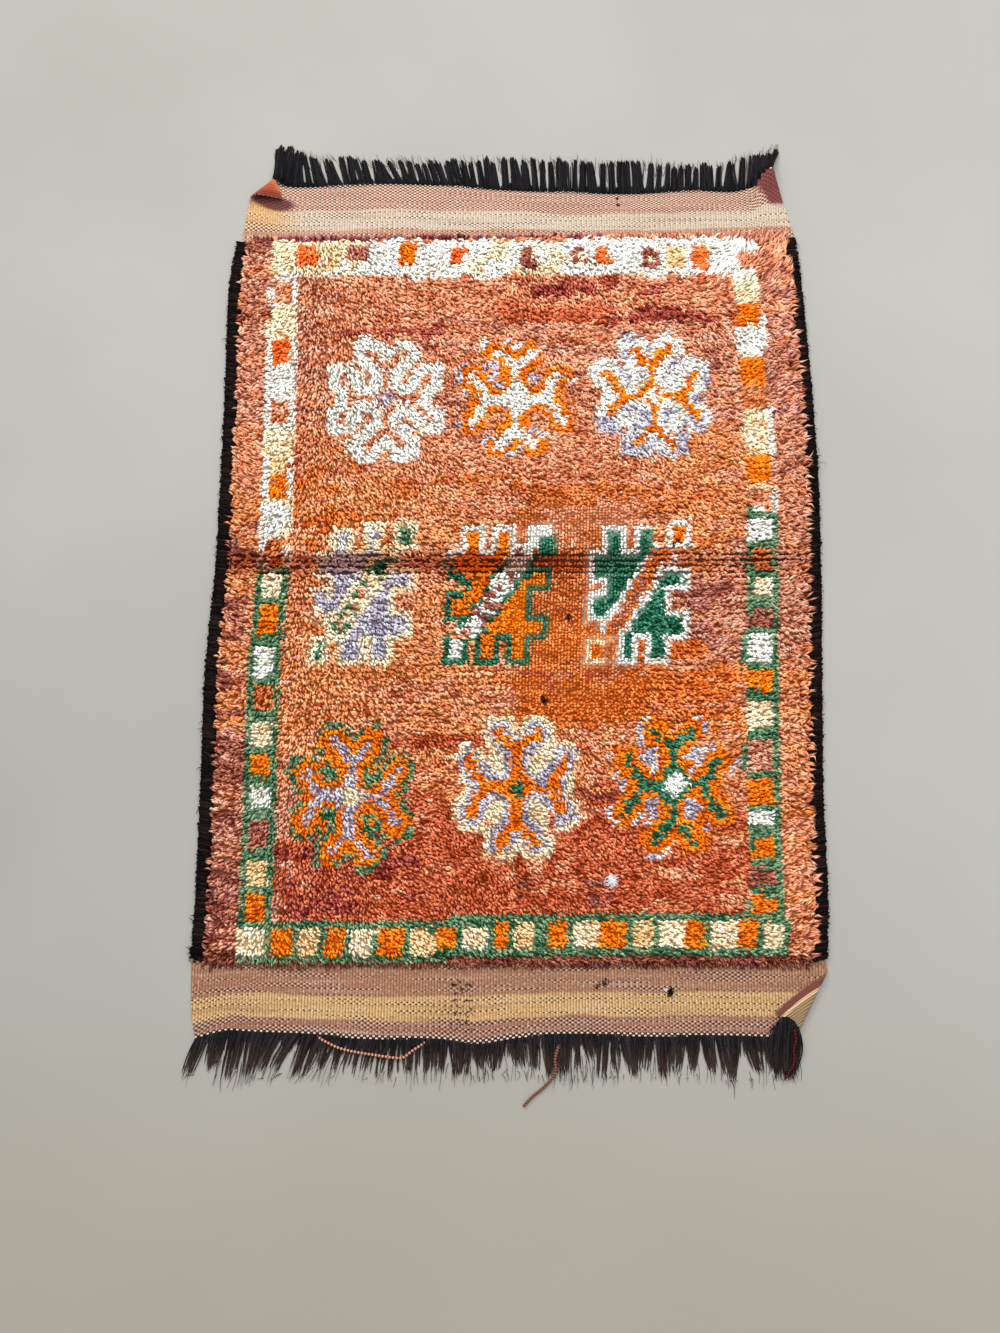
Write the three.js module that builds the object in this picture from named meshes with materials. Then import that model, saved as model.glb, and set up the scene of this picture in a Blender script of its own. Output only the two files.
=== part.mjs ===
// A hand-knotted Boujaad rug lying on a floor: one woven cloth with its pile, two goat-hair
// selvedges and the fringe at each end. Millimetres, +Z up. X runs across the rug, Y along it,
// and the origin is on the floor at the middle of the box around the whole rug.
import * as THREE from "three";

// Driving sizes
const WEAVE = 2.6; // thickness of the flat-woven ends
const PILE = 14; // height of the pile tips in the middle of the field
const SHOULDER = 9; // height of the pile along the edges of its field
const SHOULDER_RUN = 18; // how far in the pile reaches its full height
const FIELD_BOTTOM = -577; // the first row of knots
const FIELD_TOP = 566; // the last row of knots
const STEP = 0.8; // the run from the full width of the ends to the narrower field of knots
const SELVEDGE_WIDTH = 24;
const SELVEDGE_HEIGHT = 10;
const SELVEDGE_ROUND = { width: 4, height: 4, crown: 1 }; // its top edges, and its crown over them
const SELVEDGE_CHAMFER = { width: 2, height: 3 }; // its outer edge by the floor
const FRINGE_THICK = 2.6;
const TUFT_THICK = 7.5; // the fringe where the folded corner doubles it
const GAP = 0.3; // between one piece and the next

const RUST = 0xc9693a;
const GOAT_HAIR = 0x17120f;
const BLACK_WOOL = 0x1c1715;

// The crease where the rug was folded across its middle
const CREASE = { y: 12, depth: 4.5, halfWidth: 26 };
const CREASE_SIDES = 4; // how steep its sides are
// Slow rises and falls of the pile, as a height and the lengths of one wave
const UNEVEN = { height: 0.8, acrossWave: 310, alongWave: 270 };

// Cloth edges, a row for each place where an edge turns, from the lower end of the rug upwards
const LOWER_END = [
  { y: -684, left: -445, right: 426 },
  { y: -645, left: -453, right: 430 },
  { y: -577, left: -457, right: 429 },
];
const FIELD = [
  { y: -577, left: -461, right: 432 },
  { y: -500, left: -459, right: 438 },
  { y: -340, left: -461, right: 441 },
  { y: -160, left: -465, right: 450 },
  { y: 0, left: -459, right: 458 },
  { y: 160, left: -459, right: 463 },
  { y: 320, left: -461, right: 461 },
  { y: 484, left: -464, right: 456 },
  { y: 566, left: -456, right: 451 },
];
const UPPER_END = [
  { y: 566, left: -446, right: 449 },
  { y: 630, left: -438, right: 431 },
  { y: 680, left: -437, right: 413 },
];

// Where the weave stops and the fringe begins at each end, across the rug
const ROOTS = [
  { x: -445, lower: -684, upper: 706 },
  { x: -420, lower: -677, upper: 694 },
  { x: -400, lower: -673, upper: 680 },
  { x: -380, lower: -674, upper: 671 },
  { x: -360, lower: -675, upper: 669 },
  { x: -300, lower: -677, upper: 669 },
  { x: -205, lower: -682, upper: 674 },
  { x: -110, lower: -684, upper: 668 },
  { x: -60, lower: -689, upper: 663 },
  { x: 0, lower: -680, upper: 659 },
  { x: 60, lower: -677, upper: 655 },
  { x: 180, lower: -678, upper: 651 },
  { x: 300, lower: -679, upper: 655 },
  { x: 378, lower: -682, upper: 657 },
  { x: 398, lower: -683, upper: 680 },
  { x: 426, lower: -684, upper: 688 },
];

// Where the strands of each fringe end, and how far they lean towards +X by their tips
const UPPER_TIPS = [
  { x: -386, tip: 748.6, lean: -16 },
  { x: -355, tip: 736, lean: -8 },
  { x: -309, tip: 729, lean: -16 },
  { x: -193, tip: 722, lean: -16 },
  { x: 6, tip: 722, lean: -5 },
  { x: 203, tip: 714, lean: 1 },
  { x: 302, tip: 710, lean: 3 },
  { x: 368, tip: 722, lean: 4 },
  { x: 412, tip: 741, lean: 18 },
];
const LOWER_TIPS = [
  { x: -440, tip: -738, lean: -24 },
  { x: -401, tip: -748, lean: -10 },
  { x: -298, tip: -739, lean: -24 },
  { x: -161, tip: -743, lean: -4 },
  { x: -25, tip: -740, lean: -2 },
  { x: 112, tip: -742, lean: -1 },
  { x: 248, tip: -741, lean: 2 },
  { x: 315, tip: -748, lean: 3 },
  { x: 378, tip: -738, lean: 5 },
];
const STRAND = { pitch: 17, rootPart: 0.84, tipPart: 0.45, notch: 9, ragged: 5, snap: 1.2 };
const RAGGED_TURN = 2.4; // turns the raggedness from one tooth to the next
// The strands of the rolled corner fan out from a root of their own, just outside the roll
const UPPER_FAN = [
  { x: -392, y: 683 },
  { x: -380, y: 678 },
  { x: -366, y: 677 },
];
const UPPER_COMB_START = -352; // right of here the upper edge lies flat
const LOWER_COMB_END = 374; // right of here the lower edge is folded over
const DOUBLED = { from: 335, to: 352 }; // where the lower fringe thickens towards that fold

// Corners. A bent one turns round a straight line across the cloth: x and y are a point on that
// line, toward is the heading off it in degrees, and most is the angle it turns at most.
// The cloth past the bend sags by so much over its sagRun.
const ROLL = { x: -440, y: 628, toward: 132, radius: 9, most: 200, sag: 0, sagRun: 20 };
const FOLD = { x: 422.2, y: -592.4, toward: -28.6, radius: 5.5, most: 180, sag: 2.2, sagRun: 20 };
const LIFT = { x: 413, y: 678, height: 25, reach: 78 };

// The grid of the cloth: fine steps at the sides, where the corners bend, and even ones between
const EDGE_STEP = 6.5;
const EDGE_COLUMNS = 11;
const MIDDLE_COLUMNS = 14;
const LOWER_ROWS = 13;
const UPPER_ROWS = 11;
const FIELD_ROWS = 8;
const CREASE_ROWS = [-1, -0.6, -0.25, 0, 0.25, 0.6, 1];

const rad = THREE.MathUtils.degToRad;
const mix = THREE.MathUtils.lerp;

// The value of one column of a table at a place along it, on a smooth curve through its rows
function follow(rows, key, at, name) {
  const last = rows.length - 1;
  let i = 0;
  while (i < last - 1 && at > rows[i + 1][key]) i += 1;
  const slope = (j) => {
    const before = rows[Math.max(j - 1, 0)];
    const after = rows[Math.min(j + 1, last)];
    return (after[name] - before[name]) / (after[key] - before[key]);
  };
  const span = rows[i + 1][key] - rows[i][key];
  const t = THREE.MathUtils.clamp((at - rows[i][key]) / span, 0, 1);
  const ease = t * t * (3 - 2 * t);
  const leave = t * (1 - t) * (1 - t) * span * slope(i);
  const arrive = -t * t * (1 - t) * span * slope(i + 1);
  return mix(rows[i][name], rows[i + 1][name], ease) + leave + arrive;
}

// How high the lifted corner holds the cloth at a place
function lifted(x, y) {
  const near = Math.max(0, 1 - Math.hypot(x - LIFT.x, y - LIFT.y) / LIFT.reach);
  return LIFT.height * near * near;
}

// Turns a point of the flat cloth, at height z over its underside, round the line of a corner
function bend(point, corner) {
  const out = new THREE.Vector3(Math.cos(rad(corner.toward)), Math.sin(rad(corner.toward)), 0);
  const past = (point.x - corner.x) * out.x + (point.y - corner.y) * out.y;
  if (past <= 0) return point;
  const middle = corner.radius - WEAVE / 2;
  const angle = Math.min(past / middle, rad(corner.most));
  const beyond = past - angle * middle;
  const arm = corner.radius - point.z;
  const reach = arm * Math.sin(angle) + beyond * Math.cos(angle);
  const height = corner.radius - arm * Math.cos(angle) + beyond * Math.sin(angle);
  const moved = point.clone().addScaledVector(out, reach - past);
  moved.z = height - corner.sag * Math.min(1, beyond / corner.sagRun);
  return moved;
}

// Where a point of the flat cloth lies once its corners are rolled, folded and lifted
function lay(x, y, z) {
  const flat = new THREE.Vector3(x, y, z);
  const laid = bend(bend(flat, ROLL), FOLD);
  laid.z += lifted(laid.x, laid.y);
  return laid;
}

// The height of the pile tips, lower along the edges of the field and in the crease
function pileHeight(x, y, left, right) {
  const inset = Math.min(x - left, right - x, y - FIELD_BOTTOM, FIELD_TOP - y);
  const shoulder = THREE.MathUtils.smoothstep(inset, 0, SHOULDER_RUN);
  const wave = (at, length) => Math.cos((2 * Math.PI * at) / length);
  const waves = wave(x, UNEVEN.acrossWave) + wave(y, UNEVEN.alongWave);
  const off = (y - CREASE.y) / CREASE.halfWidth;
  const trough = CREASE.depth * Math.exp(-CREASE_SIDES * off * off);
  return mix(SHOULDER, PILE + (UNEVEN.height * waves) / 2 - trough, shoulder);
}

// Places across the cloth from one edge to the other
function across(left, right) {
  const places = [];
  for (let i = 0; i < EDGE_COLUMNS; i += 1) places.push(left + i * EDGE_STEP);
  const from = left + EDGE_COLUMNS * EDGE_STEP;
  const to = right - EDGE_COLUMNS * EDGE_STEP;
  for (let i = 0; i <= MIDDLE_COLUMNS; i += 1) places.push(mix(from, to, i / MIDDLE_COLUMNS));
  for (let i = EDGE_COLUMNS - 1; i >= 0; i -= 1) places.push(right - i * EDGE_STEP);
  return places;
}

// One row of places in a flat-woven end. part runs from 0 at the field to 1 at the fringe.
function endRow(table, fieldEdge, fringeEdge, root, part) {
  const y = mix(fieldEdge, fringeEdge, part);
  const places = across(follow(table, "y", y, "left"), follow(table, "y", y, "right"));
  return places.map((x) => ({ x, y: mix(fieldEdge, follow(ROOTS, "x", x, root), part), over: WEAVE }));
}

// The places along the field of knots where its rows of points lie
function fieldPlaces() {
  const low = FIELD_BOTTOM + STEP;
  const high = FIELD_TOP - STEP;
  const crease = CREASE_ROWS.map((k) => CREASE.y + k * CREASE.halfWidth);
  const below = [];
  const above = [];
  for (let i = 0; i < FIELD_ROWS / 2; i += 1) {
    below.push(mix(low + SHOULDER_RUN, crease[0], i / (FIELD_ROWS / 2)));
    above.push(mix(high - SHOULDER_RUN, crease[crease.length - 1], i / (FIELD_ROWS / 2)));
  }
  const ends = SHOULDER_RUN / 2;
  return [low, low + ends, ...below, ...crease, ...above.reverse(), high - ends, high];
}

function fieldRow(y) {
  const left = follow(FIELD, "y", y, "left") + SELVEDGE_WIDTH + GAP;
  const right = follow(FIELD, "y", y, "right") - SELVEDGE_WIDTH - GAP;
  return across(left, right).map((x) => ({ x, y, over: pileHeight(x, y, left, right) }));
}

// All rows of the cloth, from the lower fringe to the upper one
function clothRows() {
  const rows = [];
  for (let i = LOWER_ROWS; i >= 0; i -= 1) {
    rows.push(endRow(LOWER_END, FIELD_BOTTOM, LOWER_END[0].y, "lower", i / LOWER_ROWS));
  }
  for (const y of fieldPlaces()) rows.push(fieldRow(y));
  for (let i = 0; i <= UPPER_ROWS; i += 1) {
    rows.push(endRow(UPPER_END, FIELD_TOP, UPPER_END.at(-1).y, "upper", i / UPPER_ROWS));
  }
  return rows;
}

// A mesh of its points and of its faces, three points to a face
function body(points, faces) {
  const geometry = new THREE.BufferGeometry();
  const places = points.flatMap((p) => p.toArray());
  geometry.setAttribute("position", new THREE.Float32BufferAttribute(places, 3));
  geometry.setIndex(faces);
  geometry.computeVertexNormals();
  return geometry;
}

// A closed body from loops of points that all have the same count, each loop joined to the next
function skin(loops, caps) {
  const count = loops[0].length;
  const points = loops.flat();
  const faces = [];
  for (let k = 0; k < loops.length - 1; k += 1) {
    for (let i = 0; i < count; i += 1) {
      const next = (i + 1) % count;
      const [a, b, c, d] = [k * count + i, k * count + next, (k + 1) * count + next, (k + 1) * count + i];
      faces.push(a, b, c, a, c, d);
    }
  }
  const end = (loops.length - 1) * count;
  for (const [a, b, c] of caps) {
    faces.push(a, c, b);
    faces.push(end + a, end + b, end + c);
  }
  return body(points, faces);
}

// The cloth: each row is a loop over its face and back along its underside
function clothGeometry(rows) {
  const loops = rows.map((row) => {
    const over = row.map((p) => lay(p.x, p.y, p.over));
    const under = row.map((p) => lay(p.x, p.y, 0));
    return [...over, ...under.reverse()];
  });
  const columns = rows[0].length;
  const caps = [];
  for (let i = 0; i < columns - 1; i += 1) {
    const [a, b, c, d] = [i, i + 1, 2 * columns - 2 - i, 2 * columns - 1 - i];
    caps.push([a, b, c], [a, c, d]);
  }
  return skin(loops, caps);
}

// A selvedge: a low band with rounded upper edges, between the cloth and the outer edge
function selvedgeGeometry(side) {
  const outward = side === "left" ? -1 : 1;
  const places = fieldPlaces();
  places[0] += GAP;
  places[places.length - 1] -= GAP;
  const loops = places.map((y) => {
    const outer = follow(FIELD, "y", y, side);
    const inner = outer - outward * SELVEDGE_WIDTH;
    const section = [
      { x: inner, z: 0 },
      { x: outer - outward * SELVEDGE_CHAMFER.width, z: 0 },
      { x: outer, z: SELVEDGE_CHAMFER.height },
      { x: outer, z: SELVEDGE_HEIGHT - SELVEDGE_ROUND.height },
      { x: outer - outward * SELVEDGE_ROUND.width, z: SELVEDGE_HEIGHT - SELVEDGE_ROUND.crown },
      { x: (outer + inner) / 2, z: SELVEDGE_HEIGHT },
      { x: inner + outward * SELVEDGE_ROUND.width, z: SELVEDGE_HEIGHT - SELVEDGE_ROUND.crown },
      { x: inner, z: SELVEDGE_HEIGHT - SELVEDGE_ROUND.height },
    ];
    const loop = section.map((p) => new THREE.Vector3(p.x, y, p.z));
    return side === "right" ? loop.reverse() : loop;
  });
  const caps = [];
  for (let i = 1; i < loops[0].length - 1; i += 1) caps.push([0, i, i + 1]);
  return skin(loops, caps);
}

// The teeth of a comb between two places, each as its root and tip corners
function teeth(from, to, tips, outward) {
  const count = Math.round((to - from) / STRAND.pitch);
  const pitch = (to - from) / count;
  return Array.from({ length: count }, (_, i) => {
    const x = from + (i + 0.5) * pitch;
    const ragged = STRAND.ragged * Math.abs(Math.sin(RAGGED_TURN * i));
    const centre = x + follow(tips, "x", x, "lean");
    return {
      rootLeft: x - (pitch * STRAND.rootPart) / 2,
      rootRight: x + (pitch * STRAND.rootPart) / 2,
      tipLeft: centre - (pitch * STRAND.tipPart) / 2,
      tipRight: centre + (pitch * STRAND.tipPart) / 2,
      tip: follow(tips, "x", x, "tip") - outward * ragged,
    };
  });
}

// A flat comb in plan: a strip along the root line, and a tooth for each clump of strands
function combPlan(rootLine, tips, outward) {
  const lineAt = (x) => {
    const i = Math.max(1, rootLine.findIndex((p) => p.x >= x));
    const [a, b] = [rootLine[i - 1], rootLine[i]];
    return mix(a.y, b.y, (x - a.x) / (b.x - a.x));
  };
  const snap = (x) => rootLine.map((p) => p.x).find((at) => Math.abs(at - x) < STRAND.snap) ?? x;
  const first = rootLine[0].x;
  const last = rootLine[rootLine.length - 1].x;
  const strands = teeth(first + STRAND.snap, last - STRAND.snap, tips, outward);
  const bounds = strands.flatMap((tooth) => [snap(tooth.rootLeft), snap(tooth.rootRight)]);
  const stops = [...new Set([...rootLine.map((p) => p.x), ...bounds])].sort((a, b) => a - b);
  const plan = [];
  const faces = [];
  for (const x of stops) {
    plan.push(new THREE.Vector2(x, lineAt(x)), new THREE.Vector2(x, lineAt(x) + outward * STRAND.notch));
  }
  for (let i = 0; i < stops.length - 1; i += 1) {
    faces.push([2 * i, 2 * i + 2, 2 * i + 3], [2 * i, 2 * i + 3, 2 * i + 1]);
  }
  for (const tooth of strands) {
    const from = stops.indexOf(snap(tooth.rootLeft));
    const to = stops.indexOf(snap(tooth.rootRight));
    const tip = plan.length;
    plan.push(new THREE.Vector2(tooth.tipLeft, tooth.tip), new THREE.Vector2(tooth.tipRight, tooth.tip));
    for (let i = from; i < to; i += 1) faces.push([tip, 2 * i + 1, 2 * i + 3]);
    faces.push([tip, 2 * to + 1, tip + 1]);
  }
  return { plan, faces: outward > 0 ? faces : faces.map(([a, b, c]) => [a, c, b]) };
}

// A fringe: a comb in plan given its thickness, with walls where a face has no neighbour
function fringeGeometry(rootLine, tips, outward, thickness) {
  const { plan, faces } = combPlan(rootLine, tips, outward);
  const count = plan.length;
  const under = plan.map((p) => new THREE.Vector3(p.x, p.y, lifted(p.x, p.y)));
  const over = under.map((p) => new THREE.Vector3(p.x, p.y, p.z + thickness(p.x)));
  const edges = faces.flatMap(([a, b, c]) => [[a, b], [b, c], [c, a]]);
  const known = new Set(edges.map(([a, b]) => `${a} ${b}`));
  const rim = edges.filter(([a, b]) => !known.has(`${b} ${a}`));
  const all = faces.flatMap(([a, b, c]) => [a, c, b, a + count, b + count, c + count]);
  for (const [a, b] of rim) all.push(a, b, b + count, a, b + count, a + count);
  return body([...under, ...over], all);
}

function piece(name, geometry, color) {
  const material = new THREE.MeshStandardMaterial({ color, roughness: 0.95, metalness: 0 });
  const mesh = new THREE.Mesh(geometry, material);
  mesh.name = name;
  return mesh;
}

const rows = clothRows();
const edgeOf = (row, shift) => row.map((p) => new THREE.Vector2(p.x, p.y + shift));

const upperEdge = edgeOf(rows[rows.length - 1], GAP).filter((p) => p.x > UPPER_COMB_START);
const upperFan = UPPER_FAN.map((p) => new THREE.Vector2(p.x, p.y));
const upperComb = fringeGeometry([...upperFan, ...upperEdge], UPPER_TIPS, 1, () => FRINGE_THICK);
const lowerEdge = edgeOf(rows[0], -GAP).filter((p) => p.x < LOWER_COMB_END);
const doubled = (x) => THREE.MathUtils.smoothstep(x, DOUBLED.from, DOUBLED.to);
const lowerComb = fringeGeometry(lowerEdge, LOWER_TIPS, -1, (x) => mix(FRINGE_THICK, TUFT_THICK, doubled(x)));

const rug = new THREE.Group();
rug.add(piece("rug", clothGeometry(rows), RUST));
rug.add(piece("selvedge_left", selvedgeGeometry("left"), GOAT_HAIR));
rug.add(piece("selvedge_right", selvedgeGeometry("right"), GOAT_HAIR));
rug.add(piece("fringe_top", upperComb, BLACK_WOOL));
rug.add(piece("fringe_bottom", lowerComb, BLACK_WOOL));

// The origin goes to the middle of the box around everything, on the floor
const box = new THREE.Box3().setFromObject(rug);
for (const mesh of rug.children) {
  mesh.position.set(-(box.min.x + box.max.x) / 2, -(box.min.y + box.max.y) / 2, 0);
}

export default rug;
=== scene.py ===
# %% [markdown]
# # A small hand-knotted Boujaad rug
# The rug is one woven cloth. Its middle is covered with knots of thick wool, its two ends are
# woven flat, its long sides are bound with black goat hair, and its warps end in a black fringe.
# The fixed frame gives the solids. This script gives each of them its cloth, wool and hair.

# %% Load the frame
import math

import bpy
import numpy as np
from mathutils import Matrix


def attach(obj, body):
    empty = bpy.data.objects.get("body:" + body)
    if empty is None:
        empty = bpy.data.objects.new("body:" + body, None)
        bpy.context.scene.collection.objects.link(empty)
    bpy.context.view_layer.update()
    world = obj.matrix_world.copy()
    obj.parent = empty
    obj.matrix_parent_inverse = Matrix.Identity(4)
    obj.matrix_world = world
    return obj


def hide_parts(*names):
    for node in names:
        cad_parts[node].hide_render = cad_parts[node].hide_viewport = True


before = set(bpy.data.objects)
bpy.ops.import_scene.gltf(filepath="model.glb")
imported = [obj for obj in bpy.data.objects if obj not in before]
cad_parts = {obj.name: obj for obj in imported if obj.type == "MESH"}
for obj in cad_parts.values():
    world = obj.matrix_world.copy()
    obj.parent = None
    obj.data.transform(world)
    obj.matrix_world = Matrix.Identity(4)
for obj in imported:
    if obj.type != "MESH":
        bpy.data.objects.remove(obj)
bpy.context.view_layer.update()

# %% [markdown]
# ## Sizes
# All sizes are in millimetres, in the plan that the solids were drawn on, because a weaver
# measures a rug that way. The plan's zero is a little off the middle of the finished rug, so
# one small shift takes every piece into the frame.

# %% Sizes of the rug
MM = 0.001
PLAN_SHIFT = np.array([0.925, -0.93, 0.0])
WEAVE = 2.6  # thickness of the flat weave
PILE = 14.0  # height of the pile's tips over the floor
SHOULDER = 9.0  # their height along the edges of the knotted field
SHOULDER_RUN = 18.0  # how far in they reach their full height
FIELD_BOTTOM = -577.0  # the lowest knots
FIELD_TOP = 566.0  # the highest knots
SELVEDGE_WIDTH = 24.0
GAP = 0.3  # between the cloth and a selvedge
CREASE_Y = 12.0  # the crease where the rug was folded across its middle
CREASE_REACH = 26.0
CREASE_SIDES = 4
CREASE_DEPTH = 4.5

# The edges of the cloth, as rows of: place along the rug, left edge, right edge
LOWER_END = [(-684, -445, 426), (-645, -453, 430), (-577, -457, 429)]
FIELD = [
    (-577, -461, 432), (-500, -459, 438), (-340, -461, 441), (-160, -465, 450), (0, -459, 458),
    (160, -459, 463), (320, -461, 461), (484, -464, 456), (566, -456, 451),
]
UPPER_END = [(566, -446, 449), (630, -438, 431), (680, -437, 413)]
# Where the weave stops, as rows of: place across the rug, lower line, upper line
ROOTS = [
    (-445, -684, 706), (-420, -677, 694), (-400, -673, 680), (-380, -674, 671), (-360, -675, 669),
    (-300, -677, 669), (-205, -682, 674),
    (-110, -684, 668), (-60, -689, 663), (0, -680, 659), (60, -677, 655),
    (180, -678, 651), (300, -679, 655), (378, -682, 657), (398, -683, 680), (426, -684, 688),
]
# Where the fringes end, as rows of: place across the rug, tip, lean to the right
UPPER_TIPS = [
    (-355, 736, -8), (-309, 729, -16), (-193, 722, -16), (6, 722, -5),
    (203, 714, 1), (302, 710, 3), (368, 722, 4), (412, 741, 18),
]
LOWER_TIPS = [
    (-440, -738, -24), (-401, -748, -10), (-298, -739, -24), (-161, -743, -4),
    (-25, -740, -2), (112, -742, -1), (248, -741, 2), (315, -748, 3), (378, -738, 5),
]
# Corners: a point on the line that the cloth bends round, the heading off that line in
# degrees, the radius of the bend, the most that it turns, and how far the end sags
ROLL = dict(x=-440, y=628, toward=132, radius=9, most=200, sag=0, sag_run=20)
FOLD = dict(x=422.2, y=-592.4, toward=-28.6, radius=5.5, most=180, sag=2.2, sag_run=20)
LIFT = dict(x=413, y=678, height=25, reach=78)


def follow(table, column, places):
    """One column of a table at any places, on a smooth curve through its rows."""
    at = np.array([row[0] for row in table], float)
    value = np.array([row[column] for row in table], float)
    last = len(at) - 1
    before = np.maximum(np.arange(last + 1) - 1, 0)
    after = np.minimum(np.arange(last + 1) + 1, last)
    slope = (value[after] - value[before]) / (at[after] - at[before])
    places = np.asarray(places, float)
    i = np.clip(np.searchsorted(at, places, side="right") - 1, 0, last - 1)
    span = at[i + 1] - at[i]
    t = np.clip((places - at[i]) / span, 0, 1)
    ease = t * t * (3 - 2 * t)
    bend_in = t * (1 - t) ** 2 * span * slope[i]
    bend_out = -t * t * (1 - t) * span * slope[i + 1]
    return value[i] * (1 - ease) + value[i + 1] * ease + bend_in + bend_out


def smooth(x, low, high):
    """0 below low, 1 above high, and a soft step between."""
    t = np.clip((np.asarray(x, float) - low) / (high - low), 0, 1)
    return t * t * (3 - 2 * t)


def window(x, start, full, fading, end):
    """1 from full to fading, 0 before start and after end, and soft steps between."""
    return smooth(x, start, full) * (1 - smooth(x, fading, end))


def creased(y):
    """How much of the crease is at each place along the rug, from 0 to 1."""
    return np.exp(-CREASE_SIDES * ((y - CREASE_Y) / CREASE_REACH) ** 2)


def field_edges(y, gap=0.0):
    """The left and the right edge of the knotted field, between the selvedges."""
    return follow(FIELD, 1, y) + SELVEDGE_WIDTH + gap, follow(FIELD, 2, y) - SELVEDGE_WIDTH - gap


def bend(points, corner):
    """Turns flat points round the line of a corner."""
    toward = math.radians(corner["toward"])
    out = np.array([math.cos(toward), math.sin(toward), 0])
    past = (points - np.array([corner["x"], corner["y"], 0])) @ out
    middle = corner["radius"] - WEAVE / 2
    angle = np.clip(past / middle, 0, math.radians(corner["most"]))
    beyond = past - angle * middle
    arm = corner["radius"] - points[:, 2]
    reach = arm * np.sin(angle) + beyond * np.cos(angle)
    moved = points + out * (reach - past)[:, None]
    moved[:, 2] = corner["radius"] - arm * np.cos(angle) + beyond * np.sin(angle)
    moved[:, 2] -= corner["sag"] * np.clip(beyond / corner["sag_run"], 0, 1)
    return np.where((past > 0)[:, None], moved, points)


def lifted(x, y):
    """How high the lifted corner holds the cloth."""
    near = np.maximum(0, 1 - np.hypot(x - LIFT["x"], y - LIFT["y"]) / LIFT["reach"])
    return LIFT["height"] * near * near


def lay(points):
    """Flat points of the cloth where they lie once its corners are rolled, folded and lifted."""
    laid = bend(bend(np.asarray(points, float), ROLL), FOLD)
    laid[:, 2] += lifted(laid[:, 0], laid[:, 1])
    return laid


def to_frame(points):
    """Points of the plan in the frame's metres, one number after the other, as Blender reads them."""
    return ((points + PLAN_SHIFT) * MM).ravel()


print("sizes: field", FIELD_TOP - FIELD_BOTTOM, "mm long, weave", WEAVE, "mm, pile", PILE, "mm")

# %% [markdown]
# ## Floor, light and camera
# The rug lies on a plain pale floor. Open shade outdoors is a very large, very soft light from
# above, so one wide lamp from the far left and one overhead do the same here. The camera stands
# over the near end of the rug, looking almost straight down.

# %% The floor
def deselect_all():
    """Leaves nothing selected, so that the next operator acts only on what it makes."""
    bpy.ops.object.select_all(action="DESELECT")


FLOOR_SIDE = 14  # metres
deselect_all()
bpy.ops.mesh.primitive_plane_add(size=FLOOR_SIDE)
floor = bpy.context.object
floor.name = "floor"
print(f"floor: {FLOOR_SIDE} m square, pale and plain")

# %% The lights
LAMPS = {
    # name: (place in metres, size in metres, power in watts, colour)
    "sky_far_left": ((-1.0, 2.4, 2.8), 2.0, 100, (1.0, 0.99, 0.98)),
    "sky_overhead": ((0.7, 0.4, 3.6), 3.2, 135, (1.0, 1.0, 1.0)),
}
for name, (place, size, power, colour) in LAMPS.items():
    lamp_data = bpy.data.lights.new(name, "AREA")
    lamp_data.shape = "DISK"
    lamp_data.size = size
    lamp_data.energy = power
    lamp_data.color = colour
    lamp = bpy.data.objects.new(name, lamp_data)
    lamp.location = place
    down = math.atan2(math.hypot(place[0], place[1]), place[2])
    around = math.atan2(place[1], place[0]) + math.pi / 2
    lamp.rotation_euler = (down, 0, around)
    bpy.context.scene.collection.objects.link(lamp)
world = bpy.data.worlds.new("open shade")
world.use_nodes = True
world.node_tree.nodes["Background"].inputs["Color"].default_value = (0.98, 0.98, 1.0, 1)
world.node_tree.nodes["Background"].inputs["Strength"].default_value = 0.62
bpy.context.scene.world = world
bpy.context.scene.view_settings.view_transform = "Standard"
print("lights:", ", ".join(LAMPS))

# %% The camera
camera_data = bpy.data.cameras.new("camera")
camera_data.sensor_fit = "VERTICAL"
camera_data.sensor_height = 36
camera_data.lens = 36.81
camera = bpy.data.objects.new("camera", camera_data)
camera.location = (0.0072, -0.6881, 1.9451)
camera.rotation_euler = [math.radians(a) for a in (15.447, 0.915, 0.107)]
bpy.context.scene.collection.objects.link(camera)
bpy.context.scene.camera = camera
print("camera: %.2f m up" % camera.location.z)

# %% [markdown]
# ## Writing a finish
# A shader is a sum of nodes. Adding two sockets by hand takes a node and two links, so a small
# class wraps an output socket and turns +, -, *, < and > into Math nodes. Any other node comes
# from one method, which takes the node's type, its settings and what goes into its sockets.

# %% A class for shader maths
class Wire:
    """An output socket of a shader node that can be used in a sum."""

    def __init__(self, finish, socket):
        self.finish = finish
        self.socket = socket

    def math(self, operation, *others):
        return self.finish.node("ShaderNodeMath", {"operation": operation}, dict(enumerate((self, *others))))

    def __add__(self, other):
        return self.math("ADD", other)

    def __sub__(self, other):
        return self.math("SUBTRACT", other)

    def __rsub__(self, other):
        return self.math("MULTIPLY", -1).math("ADD", other)

    def __mul__(self, other):
        return self.math("MULTIPLY", other)

    def __gt__(self, other):
        return self.math("GREATER_THAN", other)

    def __lt__(self, other):
        return self.math("LESS_THAN", other)

    __radd__ = __add__
    __rmul__ = __mul__

    def step(self, low, high):
        """0 below low, 1 above high, and a soft step between."""
        settings = {"interpolation_type": "SMOOTHSTEP"}
        return self.finish.node("ShaderNodeMapRange", settings, {0: self, 1: low, 2: high})

    def wave(self, length):
        """A wave between -1 and 1 of this length."""
        return self.math("MULTIPLY", 2 * math.pi / length).math("SINE")


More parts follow.
